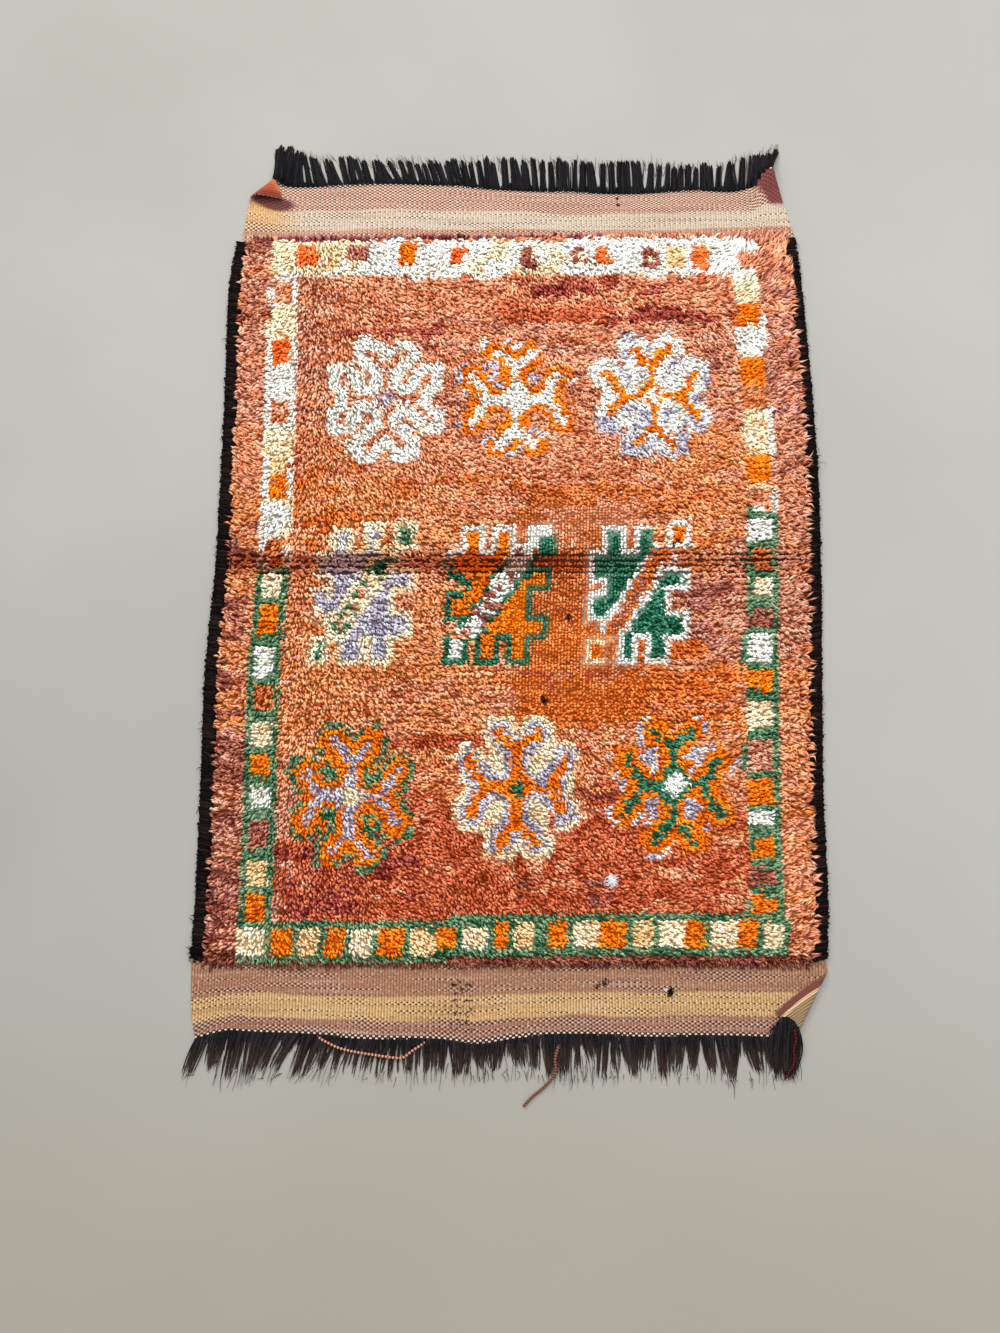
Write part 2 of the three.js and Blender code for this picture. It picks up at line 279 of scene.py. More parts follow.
class Finish:
    """A material of one Principled shader, and the nodes that feed it."""

    def __init__(self, name, **values):
        self.material = bpy.data.materials.new(name)
        self.material.use_nodes = True
        self.tree = self.material.node_tree
        self.shader = self.tree.nodes["Principled BSDF"]
        for socket, value in values.items():
            self.shader.inputs[socket.replace("_", " ")].default_value = value

    def node(self, kind, settings=None, inputs=None, output=0):
        """Adds a node: its settings first, then the values or wires of its inputs."""
        made = self.tree.nodes.new(kind)
        for name, value in (settings or {}).items():
            setattr(made, name, value)
        for name, value in (inputs or {}).items():
            if isinstance(value, Wire):
                self.tree.links.new(value.socket, made.inputs[name])
            else:
                made.inputs[name].default_value = value
        return Wire(self, made.outputs[output])

    def mix(self, share, first, second):
        """The colour first where share is 0, and second where it is 1."""
        kept = {"data_type": "RGBA"}
        return self.node("ShaderNodeMix", kept, {0: share, 6: first, 7: second}, output=2)

    def noise(self, place, scale, detail=2.0, output=0):
        inputs = {"Vector": place, "Scale": scale, "Detail": detail}
        return self.node("ShaderNodeTexNoise", {}, inputs, output)

    def feed(self, **wires):
        """Links wires to sockets of the shader, which are named with _ for a space."""
        for socket, wire in wires.items():
            self.tree.links.new(wire.socket, self.shader.inputs[socket.replace("_", " ")])

    def bump(self, height, distance, strength=1.0):
        inputs = {"Height": height, "Distance": distance, "Strength": strength}
        self.feed(Normal=self.node("ShaderNodeBump", {}, inputs))


def tint(red, green, blue):
    """A colour picked on screen, from 0 to 255, as the linear light that shaders work in."""
    screen = np.array([red, green, blue], float) / 255
    return np.where(screen <= 0.04045, screen / 12.92, ((screen + 0.055) / 1.055) ** 2.4)


def rgba(*colour):
    return (*tint(*colour), 1.0)


stone = Finish("pale floor", Roughness=0.85)
place = stone.node("ShaderNodeTexCoord", output=3)
cloudy = stone.noise(place, 1.6, 3.0).step(0.3, 0.7)
floor_colour = stone.mix(cloudy, rgba(138, 137, 130), rgba(145, 144, 138))
to_right = stone.node("ShaderNodeSeparateXYZ", {}, {0: place})
to_camera = stone.node("ShaderNodeSeparateXYZ", {}, {0: place}, output=1) * -1
# Painted light and shade: the floor is a little lighter to the right, and darker and warmer towards the
# camera
floor_colour = stone.mix(to_right.step(0.2, 0.9) * 0.6, floor_colour, rgba(153, 152, 146))
floor_colour = stone.mix(to_camera.step(0.5, 0.95) * 0.6, floor_colour, rgba(138, 133, 119))
stone.feed(Base_Color=floor_colour)
stone.bump(stone.noise(place, 90.0, 4.0), 0.0006, 0.3)
floor.data.materials.append(stone.material)
print("finish class ready, floor finished")

# %% [markdown]
# ## The woven cloth
# The ground of a knotted rug is a plain cloth, which shows at both ends. It is made from one
# grid, because a cloth is a grid of warps and wefts: each vertex goes to its place in the plan,
# and then over the rolled, folded and lifted corners. Solidify gives it its thickness. The grid
# is finer at the sides, where the corners bend.

# %% Places on the cloth
EDGE_STEP = 3.25  # between the fine columns at the sides
EDGE_COLUMNS = 22
MIDDLE_COLUMNS = 40
END_ROWS = 26
FIELD_STEP = 24.0  # between the rows under the pile
STEP = 0.8  # the run from the full width of the ends to the narrower field


def across(left, right):
    """Places from one edge to the other, in fine steps at the sides."""
    edge = np.arange(EDGE_COLUMNS) * EDGE_STEP
    inner = EDGE_COLUMNS * EDGE_STEP
    middle = np.linspace(left + inner, right - inner, MIDDLE_COLUMNS + 1)
    return np.concatenate([left + edge, middle, (right - edge)[::-1]])


def end_row(table, field_edge, far, root, part):
    """A row of the flat-woven end: part is 0 at the knots and 1 at the fringe."""
    y = field_edge + (far - field_edge) * part
    x = across(follow(table, 1, y), follow(table, 2, y))
    true_y = field_edge + (follow(ROOTS, root, x) - field_edge) * part
    return x, true_y, np.full(len(x), y)


def field_row(y):
    """A row under the pile, between the selvedges."""
    x = across(*field_edges(y, GAP))
    return x, np.full(len(x), y), np.full(len(x), y)


lower_far, upper_far = LOWER_END[0][0], UPPER_END[-1][0]
inwards, outwards = np.linspace(1, 0, END_ROWS + 1), np.linspace(0, 1, END_ROWS + 1)
cloth_rows = [end_row(LOWER_END, FIELD_BOTTOM, lower_far, 1, part) for part in inwards]
field_places = np.arange(FIELD_BOTTOM + STEP, FIELD_TOP - STEP, FIELD_STEP)
cloth_rows += [field_row(y) for y in (*field_places, FIELD_TOP - STEP)]
cloth_rows += [end_row(UPPER_END, FIELD_TOP, upper_far, 2, part) for part in outwards]
print("cloth grid:", len(cloth_rows[0][0]), "places across,", len(cloth_rows), "rows")

# %% Weave the cloth
SLACK = 1.6  # how high the flat ends ripple, away from their edges


def add_grid(name, squares_across, squares_along):
    """A flat grid, and where each of its points lies across it and along it, from 0 to 1."""
    deselect_all()
    bpy.ops.mesh.primitive_grid_add(x_subdivisions=squares_across, y_subdivisions=squares_along, size=1)
    made = bpy.context.object
    made.name = name
    places = np.zeros(len(made.data.vertices) * 3)
    made.data.vertices.foreach_get("co", places)
    return made, places[0::3] + 0.5, places[1::3] + 0.5


def thicken(thing, thickness, offset, **settings):
    """Gives the selected sheet its thickness in millimetres: upwards at offset 1, downwards at -1."""
    solidify = thing.modifiers.new("thickness", "SOLIDIFY")
    solidify.thickness = thickness * MM
    solidify.offset = offset
    for name, value in settings.items():
        setattr(solidify, name, value)
    bpy.ops.object.modifier_apply(modifier=solidify.name)


columns, rows = len(cloth_rows[0][0]), len(cloth_rows)
cloth, part_across, part_along = add_grid("woven_cloth", columns - 1, rows - 1)
column = np.rint(part_across * (columns - 1)).astype(int)
row = np.rint(part_along * (rows - 1)).astype(int)
plan_x, plan_y, woven_y = (np.array([r[k] for r in cloth_rows])[row, column] for k in range(3))
edge_left = np.array([r[0][0] for r in cloth_rows])[row]
edge_right = np.array([r[0][-1] for r in cloth_rows])[row]
inset = np.minimum(plan_x - edge_left, edge_right - plan_x)
ripple = 0.5 + 0.5 * np.sin(plan_x / 31 + 2.2 * np.sin(plan_y / 40))
at_end = np.minimum(1, np.maximum(plan_y - FIELD_TOP, FIELD_BOTTOM - plan_y).clip(0) / 60)
slack = SLACK * ripple * at_end * smooth(inset, 60, 130)
cloth.data.vertices.foreach_set("co", to_frame(lay(np.column_stack([plan_x, plan_y, slack]))))

# The finish reads how far a place is from the edge, and its place on the loom
inset_layer = cloth.data.attributes.new("inset", "FLOAT", "POINT")
inset_layer.data.foreach_set("value", inset.astype(np.float32))
loop_vertex = np.zeros(len(cloth.data.loops), int)
cloth.data.loops.foreach_get("vertex_index", loop_vertex)
woven = np.column_stack([plan_x, woven_y])[loop_vertex] * MM
cloth.data.uv_layers[0].data.foreach_set("uv", woven.astype(np.float32).ravel())
cloth.data.uv_layers[0].name = "warp and weft"

# Two empty places for materials: the face with its rim, and the back
cloth.data.materials.append(None)
cloth.data.materials.append(None)
thicken(cloth, WEAVE, 1, material_offset=1, material_offset_rim=0)
bpy.ops.object.shade_smooth_by_angle(angle=math.radians(50))
print("cloth:", len(cloth.data.polygons), "faces")

# %% [markdown]
# ## Wool on the loom
# A knotted rug is drawn knot by knot: 93 knots across and 120 rows from the top. The weaver
# counts a border or a motif in knots and picks a yarn for each. The same is done here. A yarn
# has a main colour, a lighter one and a darker one, because hand-spun and hand-dyed wool is
# never one colour. The lighter one also serves as a painted highlight on the pile's tips, and
# the darker one as painted shade on the bed under the pile.

# %% The yarns
KNOTS_ACROSS = 93
KNOT_ROWS = 120
ROW_PITCH = (FIELD_TOP - FIELD_BOTTOM) / KNOT_ROWS
YARNS = {
    # name: (main, light, dark), as picked on screen
    "salmon": ((224, 144, 102), (246, 190, 154), (176, 88, 50)),
    "rose": ((206, 136, 106), (240, 186, 158), (150, 74, 50)),
    "peach": ((230, 146, 88), (250, 192, 142), (186, 98, 46)),
    "orange_ground": ((228, 118, 44), (248, 160, 88), (176, 76, 20)),
    "deep_orange": ((214, 114, 54), (242, 158, 98), (152, 66, 20)),
    "rust": ((206, 100, 60), (236, 146, 106), (150, 58, 26)),
    "maroon": ((172, 74, 60), (216, 126, 104), (112, 30, 22)),
    "plum": ((192, 118, 98), (230, 172, 152), (138, 68, 54)),
    "orange": ((246, 126, 10), (255, 160, 42), (204, 86, 2)),
    "red_orange": ((246, 112, 36), (255, 150, 80), (210, 76, 14)),
    "cream": ((248, 228, 192), (255, 246, 222), (220, 180, 130)),
    "ivory": ((244, 243, 234), (255, 255, 252), (206, 200, 184)),
    "straw": ((244, 204, 148), (255, 228, 184), (202, 154, 96)),
    "green": ((42, 118, 88), (92, 156, 126), (18, 80, 56)),
    "sage": ((86, 134, 98), (150, 174, 136), (40, 94, 62)),
    "lavender": ((190, 184, 198), (226, 224, 230), (142, 130, 154)),
    "brown": ((166, 92, 74), (208, 142, 118), (122, 56, 46)),
    "wine": ((132, 62, 66), (178, 106, 110), (86, 30, 38)),
    "earth": ((142, 74, 54), (188, 120, 94), (92, 40, 28)),
}
yarn_number = {name: i for i, name in enumerate(YARNS)}
yarn_tints = np.array([[tint(*shade) for shade in shades] for shades in YARNS.values()])


def knot_place(c, r):
    """Where a place counted in knots lies in the plan."""
    y = FIELD_TOP - r * ROW_PITCH
    left, right = field_edges(y)
    return left + (right - left) * c / KNOTS_ACROSS, y


print(len(YARNS), "yarns for", KNOTS_ACROSS * KNOT_ROWS, "knots")


# %% Seeded unevenness
def drift(x, y, wide, long, seed):
    """Smooth noise from -1 to 1, in patches that are this wide and this long."""
    count = 97
    table = np.random.default_rng(seed).uniform(-1, 1, (count, count))
    u, v = x / wide + 2 * count, y / long + 2 * count
    i, j = np.floor(u).astype(int), np.floor(v).astype(int)
    s, t = smooth(u - i, 0, 1), smooth(v - j, 0, 1)
    near = table[i % count, j % count] * (1 - s) + table[(i + 1) % count, j % count] * s
    far = table[i % count, (j + 1) % count] * (1 - s) + table[(i + 1) % count, (j + 1) % count] * s
    return near * (1 - t) + far * t


def shares(values):
    """The same values as their places in line, from 0 for the lowest to 1 for the highest."""
    order = np.empty(values.size)
    order[np.argsort(values.ravel())] = (np.arange(values.size) + 0.5) / values.size
    return order.reshape(values.shape)


print("unevenness: every draw is seeded")

# %% [markdown]
# ## The plain ground
# The ground is one colour family, but the wool came in small lots, and each lot took the dye
# differently. That gives long streaks along the rows. Each lot below covers a part of the rug,
# fades out at its ends, and takes a share of the knots there.

# %% Lots of ground wool
LOTS = [
    # yarn, first row, last row, first column, last column, share
    ("rose", -3, 34, -9, 16, 0.7),
    ("rose", 15, 37, 30, 99, 0.45),
    ("rose", 4, 60, 84, 120, 0.6),
    ("peach", 30, 56, 10, 30, 0.35),
    ("peach", 34, 60, 70, 84, 0.75),
    ("peach", 44, 57, -9, 50, 0.5),
    ("deep_orange", 45, 60, 46, 76, 0.6),
    ("orange_ground", 46, 58, 8, 20, 0.45),
    ("peach", 59, 92, -9, 46, 0.7),
    ("deep_orange", 58, 84, 44, 72, 0.75),
    ("orange_ground", 68, 86, 46, 84, 0.7),
    ("plum", 60, 72, 71, 82, 0.75),
    ("rose", 56, 74, 82, 99, 0.7),
    ("peach", 74, 112, 84, 120, 0.55),
    ("peach", 84, 104, 60, 84, 0.45),
    ("rust", 86, 104, 28, 72, 0.5),
    ("peach", 84, 100, 34, 60, 0.4),
    ("rust", 99, 122, 8, 84, 0.85),
    ("rose", 92, 123, -9, 12, 0.8),
    ("plum", 100, 123, -9, 10, 0.35),
    ("maroon", 102, 120, 8, 30, 0.3),
    ("brown", 50, 123, -9, 4, 0.4),
    ("plum", 50, 92, -9, 6, 0.15),
    ("plum", 2, 34, 88, 99, 0.4),
]
STREAKS = [
    # the same for short rows of another yarn
    ("wine", -2, 0.1, -9, 62, 0.85),
    ("maroon", 9, 11.5, 50, 72, 0.5),
    ("maroon", 13.5, 16.5, 60, 84, 0.7),
    ("rust", 13, 16.2, 44, 62, 0.75),
    # painted shadow: a row of rust just under the ivory top border, where its tufts overhang
    ("rust", 7.6, 8.6, 8, 84, 0.5),
    ("maroon", 17, 18.8, 18, 36, 0.8),
    ("brown", 0, 5, -9, 4.3, 0.6),
    ("maroon", 9, 14, 88.5, 99, 0.35),
    ("rust", 76.5, 78.5, 48, 62, 0.4),
    ("maroon", 95, 96.5, 52, 64, 0.5),
    ("deep_orange", 42, 47, 10, 44, 0.3),
    ("brown", 20, 26, 77, 82, 0.25),
    ("brown", 108, 113, 46, 62, 0.25),
    ("brown", 100, 104, 36, 46, 0.2),
    ("rose", -2, 1, 62, 99, 0.8),
    ("earth", 118.6, 124, -9, 99, 1.0),
    ("wine", 119.6, 124, 30, 90, 0.3),
]


def ground_yarns(c, r):
    """The ground yarn for each knot."""
    yarns = np.full(c.shape, yarn_number["salmon"])
    for i, (yarn, top, bottom, start, end, share) in enumerate(LOTS + STREAKS):
        fade_c, fade_r = (5, 2) if i < len(LOTS) else (1.2, 0.4)
        here = window(c, start - fade_c, start + fade_c, end - fade_c, end + fade_c)
        here = here * window(r, top - fade_r, top + fade_r, bottom - fade_r, bottom + fade_r)
        streaky = drift(c, r, 9, 1.3, 40 + i) + 0.8 * drift(c, r, 2.1, 0.9, 90 + i)
        yarns = np.where(shares(streaky) < here * share, yarn_number[yarn], yarns)
    return yarns


print(len(LOTS), "lots and", len(STREAKS), "streaks")

# %% [markdown]
# ## The borders
# Each border is a chain of little squares: the weaver changes yarn every four or five knots and
# never counts quite the same, so each square is given by where it starts, where it ends and its
# yarn. The upper half of the border lies on ivory, the lower half on green.

# %% Squares of the four borders
TOP_SQUARES = [
    # first column, last column, yarn, first row, last row
    (9.3, 12.5, "red_orange", 2, 5.6), (17.7, 21, "plum", 1.5, 5), (26.6, 30, "orange", 1.7, 5.8),
    (35.5, 38.2, "red_orange", 2, 5.6), (47.7, 50.9, "brown", 2.5, 6.5), (52.2, 55, "cream", 2.5, 6.4),
    (56.4, 59.2, "plum", 2.2, 5.8), (60.3, 63.2, "red_orange", 2, 5.4), (68.6, 71.8, "brown", 2.8, 6.4),
    (73, 76, "straw", 2.8, 6.2), (77.2, 80.4, "red_orange", 2.6, 6.2), (85.3, 88, "salmon", 3, 6),
]
LEFT_SQUARES = [
    # first row, last row, yarn
    (8.5, 12.5, "salmon"), (13, 19, "cream"), (19, 24, "red_orange"), (24.5, 30, "ivory"),
    (30.5, 34.5, "salmon"), (35.5, 40.5, "cream"), (40.5, 43.7, "straw"), (44, 47.5, "orange"),
    (48, 54.5, "ivory"), (54.5, 59.8, "deep_orange"), (60.6, 64.4, "cream"), (65.4, 70.4, "orange"),
    (72, 77, "ivory"), (78.8, 82.8, "deep_orange"), (84.2, 88, "cream"), (89.4, 93, "orange"),
    (94.8, 98, "ivory"), (99.7, 104, "brown"), (105.5, 109.3, "straw"), (110.8, 115.3, "orange"),
    (115.3, 119.3, "cream"),
]
RIGHT_SQUARES = [
    (8, 12.5, "cream"), (12.7, 17, "orange"), (17.3, 23, "ivory"), (23.3, 27.7, "orange"),
    (28, 32.3, "peach"), (32.5, 40.5, "cream"), (40.7, 45, "orange"), (45, 46.5, "cream"),
    (46.5, 49.6, "salmon"), (51, 54.9, "ivory"), (56, 59.6, "deep_orange"), (61.3, 64.5, "cream"),
    (66.3, 69.4, "brown"), (70.3, 75, "ivory"), (76, 79.4, "orange"), (81, 85.5, "cream"),
    (87, 92, "rose"), (93.2, 97.1, "orange"), (98.4, 100.6, "ivory"), (101.8, 105.1, "orange"),
    (106.6, 109.3, "brown"), (110.7, 113, "orange"), (114.3, 118.4, "ivory"),
]
BOTTOM_SQUARES = [
    # first column, last column, yarn
    (5, 9.3, "cream"), (10, 13, "orange"), (14, 17.3, "straw"), (18, 21.5, "orange"),
    (22.3, 26, "cream"), (27, 31, "orange"), (31.5, 35, "straw"), (35.5, 38.8, "orange"),
    (39.2, 43.2, "cream"), (44, 46.8, "orange"), (48, 51, "straw"), (52.3, 55.7, "orange"),
    (56.5, 60.5, "cream"), (61, 64.2, "orange"), (65.5, 68.8, "straw"), (69.8, 73.4, "cream"),
    (74, 77, "orange"), (77.8, 81.7, "cream"), (82, 85, "orange"), (85.8, 88.4, "cream"),
]


def box_of(c, r, left, right, top, bottom, grow=0.0):
    """True inside a box counted in knots."""
    wide = (c > left - grow) & (c < right + grow)
    return wide & (r > top - grow) & (r < bottom + grow)


def knot_borders(c, r, yarns):
    """Draws the four borders over the ground."""
    def draw(where, yarn):
        yarns[where] = yarn_number[yarn]

    ragged = 0.35 * drift(c, r, 1.3, 1.3, 11)
    draw(box_of(c, r + ragged, 4.5, 88.3, 0.7, 7.9), "ivory")
    draw(box_of(c, r + ragged, 4.5, 20, 0.7, 7.9) & (drift(c, r, 5, 3, 12) > -0.5), "cream")
    draw(box_of(c, r, 39, 57, 0.7, 7.9) & (drift(c, r, 4, 2, 13) > 0.1), "cream")
    draw(box_of(c, r, 13.6, 16.2, 3, 6.5), "straw")
    for start, end, yarn, top, bottom in TOP_SQUARES:
        draw(box_of(c, r, start, end, top, bottom), yarn)
        if yarn in ("plum", "brown"):
            draw(box_of(c, r, start, end, top, bottom) & (drift(c, r, 1.1, 1.1, 14) > 0.45), "cream")
    for side, squares, out, inn, green_from in (
        ("left", LEFT_SQUARES, 4.6, 9.6, 59.5), ("right", RIGHT_SQUARES, 83.4, 88.4, 49.8),
    ):
        draw(box_of(c, r, out + 0.2, inn - 0.1, 7, green_from) & (drift(c, r, 3, 2.2, 15) > -0.55), "ivory")
        draw(box_of(c, r, out - 0.2, inn + 0.1, green_from, 119), "sage")
        for top, bottom, yarn in squares:
            inset = 0.7 if yarn not in ("ivory", "cream") or top > green_from else 0.2
            draw(box_of(c, r, out + inset, inn - inset, top, bottom), yarn)
            if yarn == "ivory" and top < green_from:
                draw(box_of(c, r, out, inn, top, bottom) & (drift(c, r, 3, 3, 16) > 0.5), "cream")
    lower = r + 1.3 * smooth(c, 20, 60)
    draw(box_of(c, lower, 4.5, 89.2, 114.5, 120.4), "sage")
    for start, end, yarn in BOTTOM_SQUARES:
        draw(box_of(c, lower, start, end, 115.8, 119.3), yarn)
    return yarns


print("borders:", sum(map(len, (TOP_SQUARES, LEFT_SQUARES, RIGHT_SQUARES, BOTTOM_SQUARES))), "squares")

# %% [markdown]
# ## Rosettes
# Six eight-armed rosettes repeat one figure in other yarns. Stems leave the middle upwards,
# downwards and to both sides, and each stem forks. Yarns follow one another outwards from those
# lines, so the distance to the nearest stem is all that a rosette needs.

# %% Draw a rosette
ROSETTES = [
    # centre, the yarns of its line, petals, outline and gaps, the line's half width, how much of
    # the outline is there, then its heart and the ring round it, each as a yarn and a size
    ((24.8, 30.2), "salmon", "ivory", "ivory", "salmon", 0.6, 1, ("lavender", 1.5), ("salmon", 2.7)),
    ((46.5, 30.2), "ivory", "orange", "lavender", "salmon", 0.8, 0.4, ("ivory", 3.2), ("ivory", 3.2)),
    ((69.0, 29.8), "orange", "ivory", "ivory", "ivory", 0.7, 0.95, ("ivory", 1.5), ("orange", 2.9)),
    ((21.5, 96.0), "lavender", "orange", "sage", "orange", 0.6, 1, ("cream", 1.7), ("lavender", 3.0)),
    ((47.7, 94.5), "orange", "lavender", "cream", "cream", 0.8, 0.95, ("green", 1.6), ("orange", 3.2)),
    ((72.0, 94.2), "green", "orange", "lavender", "orange", 0.6, 0.55, ("ivory", 2.0), ("green", 3.3)),
]
STEMS = [
    ((0, 0), (0, 5.2)), ((0, 5.2), (3, 8.4)), ((0, 5.2), (-3, 8.4)),
    ((0, 0), (0, -5.2)), ((0, -5.2), (3, -8.4)), ((0, -5.2), (-3, -8.4)),
    ((0, 0), (4.7, 0)), ((4.7, 0), (7.3, 4)), ((4.7, 0), (7.3, -4)),
    ((0, 0), (-4.7, 0)), ((-4.7, 0), (-7.3, 4)), ((-4.7, 0), (-7.3, -4)),
]


def stem_distance(x, y):
    """How far each place is from the nearest stem, in knots."""
    nearest = np.full(x.shape, 99.0)
    for (x0, y0), (x1, y1) in STEMS:
        along = ((x - x0) * (x1 - x0) + (y - y0) * (y1 - y0)) / ((x1 - x0) ** 2 + (y1 - y0) ** 2)
        along = np.clip(along, 0, 1)
        nearest = np.minimum(nearest, np.hypot(x - x0 - along * (x1 - x0), y - y0 - along * (y1 - y0)))
    return nearest


def knot_rosettes(c, r, yarns):
    """Draws the six rosettes over the ground."""
    for i, (middle, line, petal, outline, gap, half, there, heart, ring) in enumerate(ROSETTES):
        x, y = c - middle[0], middle[1] - r
        x = x + 0.35 * drift(c, r, 2.6, 2.6, 20 + i)
        y = y + 0.35 * drift(c, r, 2.6, 2.6, 30 + i)
        distance = stem_distance(x, y)
        patchy = drift(c, r, 1.6, 1.6, 50 + i)
        yarns[np.hypot(x / 6.6, y / 7.6) < 1] = yarn_number[gap]
        rim = (distance < 2.8) & (shares(drift(c, r, 1.9, 1.9, 56 + i)) < there)
        yarns[rim] = yarn_number[outline]
        if outline == "lavender":
            yarns[rim & (patchy > 0.35)] = yarn_number["ivory"]
        yarns[distance < (2.1 if petal == "orange" else 1.8)] = yarn_number[petal]
        if gap == "orange":
            fleck = "lavender" if outline == "lavender" else outline
            yarns[(np.hypot(x / 6.2, y / 7.2) < 1) & (distance > 1.9) & (patchy > 0)] = yarn_number[fleck]
        if petal == "ivory" and line == "orange":
            yarns[(distance < 2.8) & (patchy > 0.45 - 0.4 * (y < 0))] = yarn_number["lavender"]
        yarns[distance < half] = yarn_number[line]
        diamond = np.abs(x) + np.abs(y) * 0.9
        for yarn, size in (ring, heart):
            yarns[diamond < size] = yarn_number[yarn]
    return yarns


print(len(ROSETTES), "rosettes of", len(STEMS), "stems")

# %% [markdown]
# ## Stepped figures
# Three stepped figures stand in the middle row, each cut by a slanting band and flanked by two
# small squares. They are built from boxes, as a weaver counts them: the body's boxes grown by one
# knot make its outline.

# %% Draw a stepped figure
# Boxes of the body on each side of its band: left, right, top, bottom
LEFT_BODY = [
    (3.3, 5.2, 1.2, 5.4), (8.2, 10, 1, 5.4), (0.9, 11, 5.3, 8.6),
    (3.4, 7.5, 8.4, 12.2), (0.8, 5, 12, 15),
]
RIGHT_BODY = [
    (4.5, 12.6, 9, 18.4), (12.4, 15.5, 8.6, 10.6), (12.5, 15.3, 15.8, 18.3),
    (5.8, 7.8, 18, 22.2), (10.5, 12.6, 18, 22.2),
]
BAND = ((12.4, 4.6), (3.9, 18.2))
LOW_SQUARE = (0, 3.6, 18.8, 23.4)
HIGH_SQUARE = (12.6, 16.7, -0.1, 4.4)
FIGURES = [
    # first column, body, outline, upper outline, band edge, band middle, low square, high square
    (14.0, "lavender", "cream", "cream", "sage", "salmon", ("cream", "green"), ("cream", "sage")),
    (35.6, "orange", "green", "ivory", "ivory", "ivory", ("green", "ivory"), ("ivory", "ivory")),
    (58.0, "green", "ivory", "ivory", "orange_ground", "plum", ("cream", "orange"), ("ivory", "orange")),
]
FIGURE_TOP = 52.0


def knot_figures(c, r, yarns):
    """Draws the three stepped figures over the ground."""
    (band_c0, band_r0), (band_c1, band_r1) = BAND
    run = math.hypot(band_c1 - band_c0, band_r1 - band_r0)
    for i, (first, body, outline, upper, edge, middle, low, high) in enumerate(FIGURES):
        x, y = c - first, r - FIGURE_TOP
        along = ((x - band_c0) * (band_c1 - band_c0) + (y - band_r0) * (band_r1 - band_r0)) / run
        aside = ((y - band_r0) * (band_c1 - band_c0) - (x - band_c0) * (band_r1 - band_r0)) / run
        beside = (along > -0.6) & (along < run + 0.6)
        band = beside & (np.abs(aside) < (1.55 if body == "orange" else 1.2))
        to_left = aside > 0
        inside, near = np.zeros(c.shape, bool), np.zeros(c.shape, bool)
        for boxes, side in ((LEFT_BODY, to_left), (RIGHT_BODY, ~to_left)):
            for b in boxes:
                inside |= box_of(x, y, *b) & side
                near |= box_of(x, y, *b, grow=1) & side
        near |= beside & (np.abs(aside) < 2.3)
        yarns[near] = yarn_number[outline]
        yarns[near & ((y < 5.5) | (to_left & (y < 6.6)))] = yarn_number[upper]
        yarns[inside & (np.abs(aside) > 2.2)] = yarn_number[body]
        yarns[inside & (y < 5)] = yarn_number[body]
        yarns[band] = yarn_number[edge]
        dots = (along > 3.5) & (along < run - 1.5) & ((body != "green") | (y > 9))
        yarns[band & (np.abs(aside) < 0.45) & dots] = yarn_number[middle]
        for square, (rim, heart) in ((LOW_SQUARE, low), (HIGH_SQUARE, high)):
            yarns[box_of(x, y, *square)] = yarn_number[rim]
            yarns[box_of(x, y, *square, grow=-0.9)] = yarn_number[heart]
        if body == "orange":
            flecks = band & (drift(c, r, 1, 1, 61) > 0.4)
            yarns[flecks] = yarn_number["brown"]
            yarns[box_of(x, y, 14, 17, 2.6, 5.3) | box_of(x, y, 15.8, 17, 1.8, 5)] = yarn_number["green"]
        if body == "lavender":
            yarns[band & (drift(c, r, 1.1, 1.1, 63) > 0.15)] = yarn_number["cream"]
            yarns[band & (y < 5.8)] = yarn_number["straw"]
            yarns[box_of(x, y, 9, 11.2, 6.2, 8.2)] = yarn_number["green"]
            yarns[inside & (y < 5) & (drift(c, r, 1.4, 1.4, 62) > 0.1)] = yarn_number["ivory"]
    return yarns


def knot_yarns(c, r):
    """The yarn of every knot, by its number."""
    yarns = knot_rosettes(c, r, ground_yarns(c, r))
    return knot_borders(c, r, knot_figures(c, r, yarns))


print(len(FIGURES), "stepped figures")

# %% [markdown]
# ## One strand, bent many times
# Pile, fringe and goat hair are all strands. One strand is modelled: a cylinder, cut across at
# a few levels, with its end merged to a point. Every other strand is a copy of it, bent along a
# path of its own. Thousands of separate objects would be slow, so all copies of a part of the rug
# go into one mesh, and each keeps its own colour in an attribute called yarn.

# %% Model a strand
def model_strand(name, sides, levels):
    """A closed strand that stands up: a ring of points at every level but the last, its tip."""
    deselect_all()
    bpy.ops.mesh.primitive_cylinder_add(vertices=sides, radius=1, depth=1, location=(0, 0, 0.5))
    strand = bpy.context.object
    strand.name = name
    bpy.ops.object.transform_apply(location=True)
    bpy.ops.object.mode_set(mode="EDIT")
    for level in levels[1:-1]:
        bpy.ops.mesh.select_all(action="SELECT")
        bpy.ops.mesh.bisect(plane_co=(0, 0, level), plane_no=(0, 0, 1))
    bpy.ops.mesh.select_all(action="DESELECT")
    bpy.ops.object.mode_set(mode="OBJECT")
    for vertex in strand.data.vertices:
        vertex.select = vertex.co.z > 0.999
    bpy.ops.object.mode_set(mode="EDIT")
    bpy.ops.mesh.merge(type="CENTER")
    bpy.ops.object.mode_set(mode="OBJECT")
    points = np.array([vertex.co[:] for vertex in strand.data.vertices])
    faces = [list(face.vertices) for face in strand.data.polygons]
    bpy.data.objects.remove(strand)
    level_of = np.abs(points[:, 2:3] - np.array(levels)[None]).argmin(1)
    print(f"{name}: {len(points)} points, {len(faces)} faces")
    return {"points": points, "faces": faces, "level": level_of, "levels": np.array(levels)}


def unit(vectors):
    """The same headings, each of length 1."""
    return vectors / np.maximum(np.linalg.norm(vectors, axis=-1, keepdims=True), 1e-9)


def paint(mesh, tints):
    """Keeps a colour for each point in the attribute called yarn."""
    yarn = mesh.attributes.new("yarn", "FLOAT_COLOR", "POINT")
    painted = np.column_stack([np.clip(tints, 0, 1), np.ones(len(tints))])
    yarn.data.foreach_set("color", painted.astype(np.float32).ravel())


